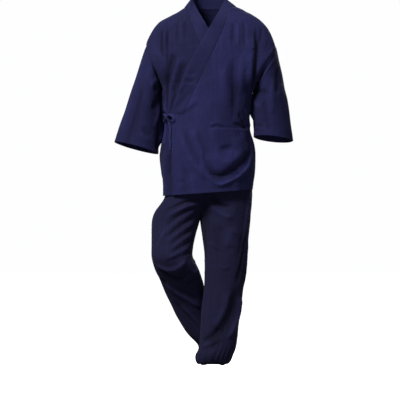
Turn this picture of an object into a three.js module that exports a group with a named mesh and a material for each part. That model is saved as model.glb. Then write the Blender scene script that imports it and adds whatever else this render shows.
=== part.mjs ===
// A samue: a wrapped cotton jacket and gathered trousers, in the shape they take when worn.
// Millimetres, +Z up. The wearer faces -Y, so the wearer's left is +X.
// The origin is the middle of the neck, level with the neck ends of the shoulder seams.
import * as THREE from 'three';

// ---- driving dimensions
const WALL = 2.0;             // doubled cloth, with its seam allowances
const SEAM = 0.3;             // left between two sewn pieces
const LAP = 5.0;              // the over front stands this far out
const TUCK = 2.5;             // and the under front this far in, where the two lie together
const SLEEVE_GAP = 0.6;       // at the armhole, where the two walls meet at an angle
const SLEEVE_ROWS = 5;
const ARMHOLE_STEPS = 8;      // rows of the body between armpit and shoulder
const ARMHOLE_ROUND = [13.9, 11.8];   // how full the loop is near the armpit and the shoulder
const COLLAR_ACROSS = 3;
const POCKET_REACH = 148;     // x of the pocket's side edge
const STRIP = { width: 8, thick: 2.2 };   // a tie, folded and stitched flat

// A table is a list of rows, each with the named columns.
function table(columns, rows) {
  return rows.map((row) => Object.fromEntries(columns.map((name, i) => [name, row[i]])));
}

// Body sections: half widths on each side, and how far front and back stand out.
const TORSO = table(['z', 'right', 'left', 'front', 'back'], [
  [-2, 86, 92, 50, 62],
  [-13, 108, 137, 59, 72],
  [-32, 149, 176, 70, 86],
  [-56, 193, 208, 82, 98],
  [-95, 222, 238, 97, 111],
  [-147, 242, 259, 112, 121],
  [-161, 237, 265, 115, 123],
  [-230, 211, 225, 125, 129],
  [-310, 180, 174, 132, 129],
  [-318, 179, 172, 132, 129],
  [-400, 170, 160, 135, 124],
  [-458, 171, 157, 136, 122],
  [-493, 176, 165, 136, 124],
  [-530, 184, 177, 136, 127],
  [-570, 190, 182, 136, 130],
  [-630, 184, 180, 134, 134],
  [-680, 177, 174, 131, 137],
  [-732, 177, 168, 128, 139],
]);

// Armholes, from shoulder point to armpit, and how far they stand out to front and back.
// Each cuff's ends, from outer to inner edge; its back edge hangs lower than its front edge.
const ARMS = {
  right: {
    sign: -1,
    top: [-242, -147],
    bottom: [-180, -310],
    depth: 78,
    cuff: { outer: [-365, -520], inner: [-195, -566], y: -18, depth: 62, tilt: 8, bow: 0 },
  },
  left: {
    sign: 1,
    top: [265, -161],
    bottom: [172, -318],
    depth: 78,
    cuff: { outer: [324, -517], inner: [174, -500], y: -6, depth: 76, tilt: 11, bow: 6 },
  },
};

// Levels that the body's rows pass through, at the right and left side seams, from the hem up.
const LEVELS = table(['right', 'left', 'rows'], [
  [-729, -704, 3],            // hem
  [-652, -640, 6],            // foot of the pocket
  [-469, -471, 2],            // mouth of the pocket
  [-413, -418, 1],            // top of the straight edge, below the collar's foot
  [-409, -415, 3],            // first row of the collar seam
]);

const NECK_LEVELS = table(['right', 'left'], [
  [-120, -128],
  [-95, -98],
  [-72, -70],
  [-50, -44],
  [-30, -24],
  [-13, -10],
  [-2, -2],
]);

// The over front's edge: the collar seam, and the collar's free edge. The under front mirrors it.
const COLLAR_FRONT = table(['z', 'seam', 'free', 'freeZ'], [
  [-415, -90, -145, -413],
  [-345, -64, -118, -335],
  [-289, -38, -97, -269],
  [-200, 4, -53, -176],
  [-107, 47, -7, -81],
  [-56, 67, 30, -26],
  [-32, 74, 49, 4],
  [-13, 80, 60, 26],
  [-2, 83, 66, 38],
]);
const LEAD_EDGE = -138;       // x of the over front's straight edge, below the collar
const UNDER_EDGE = -120;      // the same on the under front, mirrored
const NECK_FREE = { halfWidth: 68, z: 40, nape: 54, napeZ: 58 };
// Heights of the free edge between which the collar leaves the chest, and then comes upright.
const COLLAR_STAND = { leaves: -95, left: -60, tilts: -70, upright: 30, shoulderY: -4 };
const V_DEPTH = 92;           // how far the crossing of the collars stands out
// Where the fronts come level again, as shares of the way from the middle to the side seam.
const LAP_FADE = { over: [0.98, 0.83], under: [-0.75, -0.6] };
const QUARTER_GIRTH = 240;    // of the body, on average

// Creases seen from the front, each a curve from its start past a bend to its end.
const CREASE_COLUMNS = ['x0', 'z0', 'x1', 'z1', 'x2', 'z2', 'width', 'height'];
const BODY_CREASES = table(CREASE_COLUMNS, [
  [-28, -540, 21, -816, 166, -568, 17, 7],       // rim of the sag below the pocket
  [8, -615, 65, -702, 163, -549, 20, -8],        // the sag itself
  [35, -540, 65, -575, 95, -535, 18, -4],
  [-110, -483, -60, -600, -9, -662, 16, 4],
  [-57, -483, -25, -550, 0, -619, 13, 3],
  [-186, -85, -176, -150, -184, -200, 12, -6],   // at the right armhole
  [-128, -180, -148, -240, -159, -310, 15, -7],
  [186, -90, 180, -200, 168, -312, 18, -8],      // at the left armhole
  [97, -200, 92, -270, 100, -345, 20, -3],
]);
const LEG_CREASES = table(CREASE_COLUMNS, [
  [-40, -790, -120, -850, -205, -930, 16, 5],
  [-50, -850, -110, -900, -160, -960, 13, 4],
  [-218, -975, -150, -1000, -62, -978, 14, -6],  // behind the bent knee
  [-208, -1020, -140, -1040, -55, -1060, 16, 4],
  [168, -690, 158, -890, 100, -1035, 14, 4],     // along the left side seam
  [106, -1070, 118, -1200, -5, -1318, 20, -7],
  [-30, -1215, 20, -1290, 60, -1340, 16, 4],
]);

// Leg sections from the waist down. turn is where the centre seam cuts the section, in degrees:
// 0 is a half ellipse, and -90 a closed one.
const LEG_COLUMNS = ['z', 'inner', 'outer', 'y', 'front', 'back', 'turn'];
const LEG_TOP = [
  [-480, 0, 147, 0, 104, 104, 0],
  [-540, -3, 160, 0, 109, 114, -3],
  [-600, -8, 166, 0, 111, 122, -8],
  [-655, -14, 168, 0, 105, 115, -15],
  [-700, -19, 168.3, 0, 98, 109, -27],
];
const LEGS = {
  left: {
    sign: 1,
    rows: table(LEG_COLUMNS, [
      ...LEG_TOP,
      [-738, -24, 168.5, 0, 90, 101, -42],
      [-785, -30, 166, -1, 89, 104, -64],
      [-820, -33, 163, -2, 86, 98, -90],
      [-878, -26, 157, -4, 82, 90, -90],
      [-936, -18, 152, -8, 78, 84, -90],
      [-997, -15, 147, -12, 74, 78, -90],
      [-1051, -16, 140, -16, 70, 74, -90],
      [-1102, -19, 133, -19, 68, 72, -90],
      [-1158, -27, 128, -22, 67, 70, -90],
      [-1213, -30, 120, -25, 66, 69, -90],
      [-1269, -34, 114, -28, 65, 68, -90],
      [-1315, -38, 107, -30, 66, 68, -90],
      [-1345, -51, 96, -31, 66, 68, -90],
      [-1367, -50, 86, -32, 60, 62, -90],
      [-1379, -40, 74, -32, 52, 54, -90],
      [-1377, -34, 66, -32, 46, 48, -90],
      [-1365, -30, 62, -32, 43, 45, -90],
    ]),
  },
  right: {
    sign: -1,
    rows: table(LEG_COLUMNS, [
      ...LEG_TOP.map((row) => [row[0], row[1], -row[2] - 2.5, ...row.slice(3)]),
      [-738, -24, -172.5, 0, 90, 101, -42],
      [-785, -30, -206, -1, 89, 104, -64],
      [-820, -33, -219, -2, 86, 98, -90],
      [-869, -47, -220, -14, 84, 88, -90],
      [-936, -60, -221, -32, 82, 82, -90],
      [-970, -58, -220, -38, 80, 80, -90],
      [-1008, -40, -210, -24, 78, 78, -90],
      [-1053, -24, -190, 8, 74, 76, -90],
      [-1100, -12, -171, 42, 68, 70, -90],
      [-1141, 4, -152, 64, 65, 66, -90],
      [-1208, 30, -119, 89, 62, 62, -90],
      [-1269, 52, -80, 104, 60, 60, -90],
      [-1313, 82, -40, 112, 60, 60, -90],
      [-1345, 84, -44, 114, 60, 62, -90],
      [-1367, 78, -42, 114, 56, 58, -90],
      [-1379, 70, -32, 114, 50, 52, -90],
      [-1377, 64, -28, 114, 46, 47, -90],
      [-1365, 60, -26, 114, 43, 44, -90],
    ]),
  },
};
const WAISTBAND = { rise: 38 };
const CASING = { drop: 21, inset: 0.6 };   // elastic casing at each ankle

// The bow at the wearer's right: its knot, seen from the front, and how far its middle stands out.
// Sewn ties and tails leave it on the body's side of its middle, and loops on the other side.
const KNOT = { x: -153, z: -425, out: 9.4, size: [9.5, 8, 9.5], layer: 3.2 };
// Loops, as steps from the knot's middle: across, out from the body, and up.
const LOOPS = {
  bow_loop_side: table(['across', 'out', 'up'], [
    [-20, 1, 9], [-29, -2, 4], [-31, -4, -7], [-27, -3, -18], [-18, 0, -17],
  ]),
  bow_loop_front: table(['across', 'out', 'up'], [
    [21, 4, 11], [33, 1, 7], [37, -1, -5], [31, 0, -17], [19, 3, -15],
  ]),
};
// Free tails and the strips sewn to the cloth, seen from the front, with their lift off the body.
const STRIP_COLUMNS = ['x', 'z', 'lift'];
const TAILS = {
  tail_side: table(STRIP_COLUMNS, [
    [-162, -450, 4], [-165, -476, 2], [-169, -502, 2], [-172, -528, 2],
  ]),
  tail_front: table(STRIP_COLUMNS, [
    [-147, -451, 5], [-146, -478, 3], [-149, -505, 2], [-147, -530, 2], [-148, -553, 2],
  ]),
  tie_front: table(STRIP_COLUMNS, [[-138, -417.5, 7], [-128, -414.5, 6.6]]),
  tie_side: table(STRIP_COLUMNS, [[-164, -424, 3.5], [-168.5, -425, 1.6]]),
};

const CLOTH = { color: 0x26255a, roughness: 0.85, metalness: 0 };

// ---- small helpers
const radians = THREE.MathUtils.degToRad;
const mix = THREE.MathUtils.lerp;
const point = (x, y, z) => new THREE.Vector3(x, y, z);

// 0 at from and 1 at to, which may be the lower of the two, with a soft start and end.
function ease(from, to, value) {
  const part = THREE.MathUtils.clamp((value - from) / (to - from), 0, 1);
  return part * part * (3 - 2 * part);
}

// Value of a table's column between its rows, as a smooth curve through them.
function hermite(rows, key, index, part) {
  const at = (i) => rows[THREE.MathUtils.clamp(i, 0, rows.length - 1)][key];
  const slopeA = (at(index + 1) - at(index - 1)) / 2;
  const slopeB = (at(index + 2) - at(index)) / 2;
  const p = part;
  return at(index) * (1 + 2 * p) * (1 - p) ** 2 + slopeA * p * (1 - p) ** 2
    + at(index + 1) * p * p * (3 - 2 * p) + slopeB * p * p * (p - 1);
}

// The same, looked up by z in a table whose z falls or rises from row to row.
function column(rows, key, z) {
  const falling = rows[0].z > rows[rows.length - 1].z;
  let index = 0;
  while (index < rows.length - 2 && (falling ? z < rows[index + 1].z : z > rows[index + 1].z)) {
    index += 1;
  }
  const span = rows[index + 1].z - rows[index].z;
  return mix(rows[index][key], rows[index + 1][key],
    THREE.MathUtils.clamp((z - rows[index].z) / span, 0, 1));
}

// Height of the creases at a place seen from the front.
function creaseHeight(creases, x, z) {
  let height = 0;
  for (const fold of creases) {
    let nearest = Infinity;
    let along = 0;
    for (let i = 0; i <= 12; i += 1) {
      const t = i / 12;
      const fx = fold.x0 * (1 - t) ** 2 + 2 * fold.x1 * t * (1 - t) + fold.x2 * t * t;
      const fz = fold.z0 * (1 - t) ** 2 + 2 * fold.z1 * t * (1 - t) + fold.z2 * t * t;
      const distance = Math.hypot(x - fx, z - fz);
      if (distance < nearest) {
        nearest = distance;
        along = t;
      }
    }
    const fade = ease(0, 0.2, along) * ease(0, 0.2, 1 - along);
    height += fold.height * fade * Math.exp(-((nearest / fold.width) ** 2));
  }
  return height;
}

// ---- solids
// Turns two grids of points, the outer and the inner face of a wall, into one closed solid.
function shell(outer, inner, closed) {
  const rows = outer.length;
  const columns = outer[0].length;
  const positions = [...outer.flat(), ...inner.flat()].flatMap((p) => [p.x, p.y, p.z]);
  const shift = rows * columns;
  const faces = [];
  const quad = (a, b, c, d) => faces.push(a, b, c, a, c, d);
  const spans = closed ? columns : columns - 1;
  for (let i = 0; i < rows - 1; i += 1) {
    for (let j = 0; j < spans; j += 1) {
      const k = (j + 1) % columns;
      const [a, b] = [i * columns + j, i * columns + k];
      const [c, d] = [a + columns, b + columns];
      quad(a, b, d, c);
      quad(a + shift, c + shift, d + shift, b + shift);
    }
  }
  for (let j = 0; j < spans; j += 1) {
    const k = (j + 1) % columns;
    const last = (rows - 1) * columns;
    quad(k, j, j + shift, k + shift);
    quad(last + j, last + k, last + k + shift, last + j + shift);
  }
  if (!closed) {
    for (let i = 0; i < rows - 1; i += 1) {
      const [a, c] = [i * columns, (i + 1) * columns];
      const [b, d] = [a + columns - 1, c + columns - 1];
      quad(a, c, c + shift, a + shift);
      quad(d, b, b + shift, d + shift);
    }
  }
  if (volume(positions, faces) < 0) {
    faces.reverse();
  }
  const geometry = new THREE.BufferGeometry();
  geometry.setAttribute('position', new THREE.Float32BufferAttribute(positions, 3));
  geometry.setIndex(faces);
  geometry.computeVertexNormals();
  return geometry;
}

function volume(positions, faces) {
  const at = (i) => point(...positions.slice(3 * i, 3 * i + 3));
  let sum = 0;
  for (let i = 0; i < faces.length; i += 3) {
    sum += at(faces[i]).dot(at(faces[i + 1]).cross(at(faces[i + 2])));
  }
  return sum / 6;
}

// A wall from spots, each with its place p on the outer face and its normal n.
function wall(spots, closed, lift = 0, thick = WALL) {
  const out = (distance) => spots.map((row) => row.map(
    (spot) => spot.p.clone().addScaledVector(spot.n, distance)));
  return shell(out(lift), out(lift - thick), closed);
}

// ---- jacket body
const RIGHT = ARMS.right;
const LEFT = ARMS.left;

// Half depth of an armhole, which comes to a point at the armpit and is round at the shoulder.
function armholeDepth(arm, part) {
  const [low, high] = ARMHOLE_ROUND;
  return arm.depth * part * Math.sqrt(Math.max(0, (1 - part) * (low - high * part)));
}

// Elliptical section of the body on one side at height z: its half width and reach, and the
// turn from the middle at which it ends, a quarter except beside an armhole.
function section(arm, isFront, z) {
  const reach = column(TORSO, isFront ? 'front' : 'back', z);
  const part = armholePart(arm, z);
  if (part <= 0 || part >= 1) {
    return { half: column(TORSO, arm.sign < 0 ? 'right' : 'left', z), reach, end: Math.PI / 2 };
  }
  const edge = Math.abs(mix(arm.bottom[0], arm.top[0], part));
  const end = Math.acos(armholeDepth(arm, part) / reach);
  return { half: edge / Math.sin(end), reach, end };
}

// A place on the body. around runs from the middle of the back (-2) by the right side (-1),
// the middle of the front (0) and the left side (1) to the back again (2).
function bodyPoint(around, level) {
  const isFront = Math.abs(around) <= 1;
  const s = isFront ? around : Math.sign(around) * (2 - Math.abs(around));
  const z = mix(level.right, level.left, (1 + Math.sin(s * Math.PI / 2)) / 2);
  const { half, reach, end } = section(s < 0 ? RIGHT : LEFT, isFront, z);
  return point(half * Math.sin(end * s), (isFront ? -reach : reach) * Math.cos(end * s), z);
}

// How far up an armhole a height lies, from 0 at the armpit to 1 at the shoulder point.
function armholePart(arm, z) {
  return (z - arm.bottom[1]) / (arm.top[1] - arm.bottom[1]);
}

// Outward normal of the body. Beside an armhole it is taken just inside the panel's edge.
function bodyNormal(around, level) {
  const step = 0.004;
  const shift = (dz) => ({ right: level.right + dz, left: level.left + dz });
  const side = Math.abs(around) > 1 ? 2 - Math.abs(around) : Math.abs(around);
  const arm = around < 0 ? RIGHT : LEFT;
  const part = armholePart(arm, around < 0 ? level.right : level.left);
  const atHole = side > 1 - step && part > 0.001 && part < 0.999;
  const inside = Math.sign(around) * (Math.abs(around) > 1 ? 1 + step : 1 - step);
  const middle = atHole ? inside : around;
  const across = bodyPoint(middle + step, level).sub(bodyPoint(middle - step, level));
  const upward = bodyPoint(middle, shift(0.5)).sub(bodyPoint(middle, shift(-0.5)));
  return across.cross(upward).normalize();
}

// Turns one normal towards the middle of the two where sleeve and body bend outwards together.
function shareNormal(own, other, weight) {
  const agree = ease(-0.1, 0.35, own.dot(other)) * weight;
  return own.lerp(own.clone().add(other).normalize(), agree).normalize();
}

function bodySpot(around, level) {
  const p = bodyPoint(around, level);
  const side = Math.abs(around) > 1 ? 2 - Math.abs(around) : Math.abs(around);
  const arm = around < 0 ? RIGHT : LEFT;
  const part = armholePart(arm, p.z);
  const n = bodyNormal(around, level);
  if (part > -0.001 && part < 1.001 && side > 0.8) {
    const turn = Math.acos(THREE.MathUtils.clamp(2 * part - 1, -1, 1));
    const sleeve = sleeveNormal(arm, Math.abs(around) > 1 ? -turn : turn, 0);
    shareNormal(n, sleeve, ease(0.8, 1, side));
  }
  if (Math.abs(around) < 1) {
    p.addScaledVector(n, creaseHeight(BODY_CREASES, p.x, p.z) * ease(1, 0.9, side));
  }
  return { p, n };
}

// Where on the front a given x lies at height z, as the value of around.
function aroundAt(x, z) {
  const { half, end } = section(x < 0 ? RIGHT : LEFT, true, z);
  return Math.asin(THREE.MathUtils.clamp(x / half, -1, 1)) / end;
}

function bodyLevels() {
  const levels = [];
  const armpit = { right: RIGHT.bottom[1], left: LEFT.bottom[1] };
  LEVELS.forEach((from, k) => {
    const to = LEVELS[k + 1] ?? armpit;
    for (let i = 0; i < from.rows; i += 1) {
      const part = i / from.rows;
      levels.push({ right: mix(from.right, to.right, part), left: mix(from.left, to.left, part) });
    }
  });
  for (let i = 0; i <= ARMHOLE_STEPS; i += 1) {
    const part = (1 - Math.cos(Math.PI * i / ARMHOLE_STEPS)) / 2;
    levels.push({
      right: mix(RIGHT.bottom[1], RIGHT.top[1], part),
      left: mix(LEFT.bottom[1], LEFT.top[1], part),
    });
  }
  return [...levels, ...NECK_LEVELS];
}

const BODY = bodyLevels();
const COLLAR_START = LEVELS.slice(0, 4).reduce((sum, level) => sum + level.rows, 0);
const POCKET_FOOT = LEVELS[0].rows;
const POCKET_MOUTH = POCKET_FOOT + LEVELS[1].rows;

// Leading edge of a front at a row: side is 1 for the over front and -1 for the under front.
function leadAround(row, side) {
  const level = BODY[row];
  const z = (level.right + level.left) / 2;
  const edge = side > 0 ? LEAD_EDGE : UNDER_EDGE;
  const x = side * (row < COLLAR_START ? edge : column(COLLAR_FRONT, 'seam', z));
  return aroundAt(x, z);
}

// How far out a front or collar lies: the over side (1) or the under side (-1).
function lapLift(side, around) {
  return side > 0 ? LAP * ease(...LAP_FADE.over, around) : -TUCK * ease(...LAP_FADE.under, around);
}

const SEAM_TURN = SEAM / 2 / QUARTER_GIRTH;

function frontSpots(side, breaks) {
  return BODY.map((level, row) => {
    const lead = leadAround(row, side);
    const end = side * (1 - SEAM_TURN);
    return breaks(lead, end, level).map((around) => {
      const spot = bodySpot(around, level);
      spot.p.addScaledVector(spot.n, lapLift(side, around));
      return spot;
    });
  });
}

function spread(from, to, count) {
  return Array.from({ length: count }, (_, i) => mix(from, to, i / count));
}

const OVER_COLUMNS = [4, 6, 2];      // columns before, on and after the pocket
const UNDER_COLUMNS = 8;
const POCKET_GRID = { below: -440, above: -300, widest: 0.86 };

// Columns of the over front, with the pocket's two side edges among them.
function overColumns(lead, end, level) {
  const { below, above, widest } = POCKET_GRID;
  const near = 1 - ease(below, above, level.left);
  const pocketEdge = Math.min(aroundAt(POCKET_REACH, Math.min(level.left, below)), widest);
  const [before, over, after] = OVER_COLUMNS;
  const count = before + over + after;
  const first = mix(mix(lead, end, before / count), 0, near);
  const second = mix(mix(lead, end, (before + over) / count), pocketEdge, near);
  return [
    ...spread(lead, first, before),
    ...spread(first, second, over),
    ...spread(second, end, after),
    end,
  ];
}

function underColumns(lead, end) {
  return [...spread(lead, end, UNDER_COLUMNS), end];
}

const overFront = frontSpots(1, overColumns);
const underFront = frontSpots(-1, underColumns);
const BACK_COLUMNS = 12;
const backColumns = Array.from({ length: BACK_COLUMNS + 1 },
  (_, i) => mix(1 + SEAM_TURN, 3 - SEAM_TURN, i / BACK_COLUMNS));
const backSpots = BODY.map((level) => backColumns.map(
  (around) => bodySpot(around > 2 ? around - 4 : around, level)));

function pocketSpots() {
  const [before, over] = OVER_COLUMNS;
  return overFront.slice(POCKET_FOOT, POCKET_MOUTH + 1)
    .map((row) => row.slice(before, before + over + 1));
}

// ---- collar
// One cross row of the collar on a front, from the seam to the free edge.
function collarRow(row, side) {
  const level = BODY[row];
  const z = (level.right + level.left) / 2;
  const seamSpot = (side > 0 ? overFront : underFront)[row][0];
  const seam = seamSpot.p;
  const freeX = side * column(COLLAR_FRONT, 'free', z);
  const freeZ = column(COLLAR_FRONT, 'freeZ', z);
  const { leaves, left, tilts, upright, shoulderY } = COLLAR_STAND;
  const freeY = mix(-V_DEPTH - lapLift(side, 0), shoulderY, ease(tilts, upright, freeZ));
  const cells = [];
  for (let i = 0; i <= COLLAR_ACROSS; i += 1) {
    const part = i / COLLAR_ACROSS;
    const x = mix(seam.x, freeX, part);
    const height = mix(seam.z, freeZ, part);
    const below = Math.min(height, TORSO[0].z);
    const around = aroundAt(x, below);
    const spot = bodySpot(around, { right: below, left: below });
    const onBody = spot.p.addScaledVector(spot.n, lapLift(side, around));
    const upFree = point(x, mix(seam.y, freeY, part), height);
    cells.push(onBody.lerp(upFree, ease(leaves, left, freeZ)));
  }
  cells[0] = seam;
  return { cells, seamNormal: seamSpot.n };
}

// One cross row behind the neck, at a column of the back's top edge.
function collarNeckRow(columnIndex) {
  const seamSpot = backSpots[BODY.length - 1][columnIndex];
  const turn = Math.PI * columnIndex / BACK_COLUMNS;
  const free = point(
    NECK_FREE.halfWidth * Math.cos(turn),
    mix(-2, NECK_FREE.nape, Math.sin(turn) ** 0.8),
    mix(NECK_FREE.z, NECK_FREE.napeZ, Math.sin(turn)),
  );
  const cells = Array.from({ length: COLLAR_ACROSS + 1 },
    (_, i) => seamSpot.p.clone().lerp(free, i / COLLAR_ACROSS));
  return { cells, seamNormal: seamSpot.n };
}

// Moves each cross row's first point off the seam and gives every point its normal.
function collarSpots(rows) {
  const last = rows.length - 1;
  return rows.map(({ cells, seamNormal }, i) => {
    const before = rows[Math.max(0, i - 1)].cells;
    const after = rows[Math.min(last, i + 1)].cells;
    return cells.map((p, j) => {
      const along = after[j].clone().sub(before[j]);
      const across = cells[Math.min(COLLAR_ACROSS, j + 1)].clone().sub(cells[Math.max(0, j - 1)]);
      const n = j === 0 ? seamNormal : along.cross(across).normalize();
      const gap = j === 0 ? across.setLength(SEAM) : point(0, 0, 0);
      return { p: p.clone().add(gap), n };
    });
  });
}

// Every cross row, from the tie up over one shoulder, round the neck and down the other front.
function collarRows() {
  const rows = BODY.map((_, row) => row).slice(COLLAR_START);
  const over = rows.map((row) => collarRow(row, 1));
  const neck = backColumns.map((_, i) => collarNeckRow(i));
  const under = rows.map((row) => collarRow(row, -1)).reverse();
  return [...over, ...neck, ...under];
}

// ---- sleeves
// A place on a sleeve: turn runs from the shoulder (0) by the front, part from armhole to cuff.
function sleevePoint(arm, turn, part) {
  const up = (1 + Math.cos(turn)) / 2;
  const ring = (top, bottom, y) => point(mix(bottom[0], top[0], up), y, mix(bottom[1], top[1], up));
  const cuff = arm.cuff;
  const start = ring(arm.top, arm.bottom, -Math.sign(Math.sin(turn)) * armholeDepth(arm, up));
  const stop = ring(cuff.outer, cuff.inner, cuff.y - cuff.depth * Math.sin(turn));
  stop.z += cuff.tilt * Math.sin(turn);
  const bow = arm.sign * cuff.bow * Math.max(0, Math.cos(turn)) * Math.sin(Math.PI * part);
  return start.lerp(stop, part).add(point(bow, 0, 0));
}

function sleeveNormal(arm, turn, part) {
  const around = sleevePoint(arm, turn + 0.01, part).sub(sleevePoint(arm, turn - 0.01, part));
  const along = sleevePoint(arm, turn, part + 0.01).sub(sleevePoint(arm, turn, part - 0.01));
  return around.cross(along).multiplyScalar(arm.sign).normalize();
}

function sleeveSpots(arm) {
  const count = 2 * ARMHOLE_STEPS;
  const out = point(arm.top[1] - arm.bottom[1], 0, arm.bottom[0] - arm.top[0]);
  out.normalize().multiplyScalar(arm.sign);
  const spots = [];
  for (let i = 0; i <= SLEEVE_ROWS; i += 1) {
    const part = i / SLEEVE_ROWS;
    const row = [];
    for (let j = 0; j < count; j += 1) {
      const turn = 2 * Math.PI * j / count;
      const p = sleevePoint(arm, turn, part);
      const n = sleeveNormal(arm, turn, part);
      if (i === 0) {
        const around = arm.sign * (Math.sin(turn) > -0.001 ? 1 - 0.001 : 1 + 0.001);
        shareNormal(n, bodyNormal(around, { right: p.z, left: p.z }), 1);
      }
      row.push({ p: p.addScaledVector(out, SLEEVE_GAP * (1 - part)), n });
    }
    spots.push(row);
  }
  return spots;
}

// ---- trousers
// A place on a leg. angle runs from the inseam by the front (0) and the side (90) to the back.
function legPoint(leg, angle, index) {
  const base = Math.min(Math.floor(index), leg.rows.length - 2);
  const at = (key) => hermite(leg.rows, key, base, index - base);
  const open = Math.sin(radians(at('turn')));
  const half = (at('outer') - at('inner')) / (1 - open);
  const centre = at('outer') - half;
  const depth = Math.cos(angle) > 0 ? at('front') : at('back');
  const gap = leg.sign * SEAM / 2;
  return point(centre + half * Math.sin(angle) + gap, at('y') - depth * Math.cos(angle), at('z'));
}

function legSpot(leg, angle, index) {
  const p = legPoint(leg, angle, index);
  const across = legPoint(leg, angle + 0.01, index).sub(legPoint(leg, angle - 0.01, index));
  const last = leg.rows.length - 1;
  const low = Math.max(0, index - 0.02);
  const high = Math.min(last, index + 0.02);
  const down = legPoint(leg, angle, high).sub(legPoint(leg, angle, low));
  const n = down.cross(across).multiplyScalar(leg.sign).normalize();
  const facing = Math.max(0, Math.cos(angle));
  const below = ease(-700, -760, p.z) * ease(-1372, -1340, p.z);
  p.addScaledVector(n, creaseHeight(LEG_CREASES, p.x, p.z) * Math.min(1, 1.6 * facing) * below);
  return { p, n };
}

const LEG_ACROSS = 6;

function legSpots(leg, isFront) {
  return leg.rows.map((row, index) => {
    const inset = SEAM / 2 / Math.abs(row.outer - row.inner);
    const inner = radians(row.turn) + (row.turn < -89 ? inset : 0);
    const from = isFront ? inner : Math.PI / 2 + inset;
    const to = isFront ? Math.PI / 2 - inset : Math.PI - inner;
    return Array.from({ length: LEG_ACROSS + 1 },
      (_, j) => legSpot(leg, mix(from, to, j / LEG_ACROSS), index));
  });
}

// A ring of cloth that goes on from the end of both panels of a leg, or of the waist.
function ringSpots(sectionOf, heights, count) {
  return heights.map((z) => Array.from({ length: count }, (_, j) => {
    const angle = 2 * Math.PI * j / count - Math.PI / 2;
    const { x, y, halfX, front, back } = sectionOf(z);
    const depth = Math.cos(angle) > 0 ? front : back;
    return {
      p: point(x + halfX * Math.sin(angle), y - depth * Math.cos(angle), z),
      n: point(Math.sin(angle) / halfX, -Math.cos(angle) / depth, 0).normalize(),
    };
  }));
}

function casingSpots(leg) {
  const end = leg.rows[leg.rows.length - 1];
  const x = (end.outer + end.inner) / 2;
  const halfX = Math.abs(end.outer - end.inner) / 2 - CASING.inset;
  const [front, back] = [end.front - CASING.inset, end.back - CASING.inset];
  const top = end.z - SEAM;
  const sectionOf = () => ({ x, y: end.y, halfX, front, back });
  return ringSpots(sectionOf, [top, top - CASING.drop], 2 * LEG_ACROSS);
}

function waistbandSpots() {
  const right = LEGS.right.rows[0];
  const left = LEGS.left.rows[0];
  const x = (left.outer + right.outer) / 2;
  const halfX = (left.outer - right.outer) / 2;
  const sectionOf = () => ({ x, y: left.y, halfX, front: left.front, back: left.back });
  const foot = left.z + SEAM;
  return ringSpots(sectionOf, [foot, foot + WAISTBAND.rise], 4 * LEG_ACROSS);
}

// ---- bow
function onFront(x, z, lift) {
  const spot = bodySpot(aroundAt(x, z), { right: z, left: z });
  return { p: spot.p.addScaledVector(spot.n, lift), n: spot.n };
}

function knotPlace() {
  const { p, n } = onFront(KNOT.x, KNOT.z, 0);
  const out = point(n.x, n.y, 0).normalize();
  return { centre: p.addScaledVector(out, KNOT.out), out, across: point(-out.y, out.x, 0) };
}

const knot = knotPlace();

// A place seen from the knot, given as steps across, out and up.
function fromKnot(across, out, up) {
  return knot.centre.clone()
    .addScaledVector(knot.across, across)
    .addScaledVector(knot.out, out)
    .add(point(0, 0, up));
}

// Two points that lead a strip straight off the knot towards a place, in a layer of the knot.
function offKnot(towards, layer) {
  const way = towards.clone().sub(knot.centre);
  const turn = Math.atan2(way.z, way.dot(knot.across));
  const [across, out, up] = KNOT.size;
  const reach = Math.sqrt(1 - (layer / out) ** 2)
    / Math.hypot(Math.cos(turn) / across, Math.sin(turn) / up);
  return [reach + 2 * SEAM, reach + 2 * SEAM + STRIP.thick]
    .map((far) => fromKnot(far * Math.cos(turn), layer, far * Math.sin(turn)));
}

// A flat strip along a path, its flat side facing out from the body.
function strip(points) {
  const path = new THREE.CatmullRomCurve3(points).getPoints(2 * (points.length - 1));
  const outer = [];
  const inner = [];
  path.forEach((p, i) => {
    const along = path[Math.min(i + 1, path.length - 1)].clone()
      .sub(path[Math.max(i - 1, 0)]).normalize();
    const side = along.clone().cross(knot.out).setLength(STRIP.width / 2);
    const face = side.clone().cross(along).setLength(STRIP.thick / 2);
    const corner = (a, b) => p.clone().addScaledVector(side, a).addScaledVector(face, b);
    outer.push([corner(-1, 1), corner(1, 1)]);
    inner.push([corner(-1, -1), corner(1, -1)]);
  });
  return shell(outer, inner, false);
}

function loopStrip(rows) {
  const bend = rows.map((row) => fromKnot(row.across, row.out, row.up));
  const end = bend[bend.length - 1];
  return strip([...offKnot(bend[0], KNOT.layer), ...bend, ...offKnot(end, KNOT.layer).reverse()]);
}

function tailStrip(rows) {
  const hang = rows.map((row) => onFront(row.x, row.z, row.lift).p);
  return strip([...offKnot(hang[0], -KNOT.layer), ...hang]);
}

function knotSolid() {
  const turn = new THREE.Matrix4().makeBasis(knot.out, knot.across, point(0, 0, 1));
  const [across, out, up] = KNOT.size;
  return new THREE.IcosahedronGeometry(1, 1)
    .scale(out, across, up)
    .applyMatrix4(turn)
    .translate(...knot.centre.toArray());
}

// ---- the object
const samue = new THREE.Group();
samue.name = 'samue';

function add(name, geometry) {
  const mesh = new THREE.Mesh(geometry, new THREE.MeshStandardMaterial(CLOTH));
  mesh.name = name;
  samue.add(mesh);
}

add('back', wall(backSpots, false));
add('front_over', wall(overFront, false));
add('front_under', wall(underFront.toReversed(), false));   // top first, as the collar runs
add('collar', wall(collarSpots(collarRows()), false));
add('sleeve_right', wall(sleeveSpots(RIGHT), true));
add('sleeve_left', wall(sleeveSpots(LEFT), true));
add('pocket', wall(pocketSpots(), false, SEAM + WALL));

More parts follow.
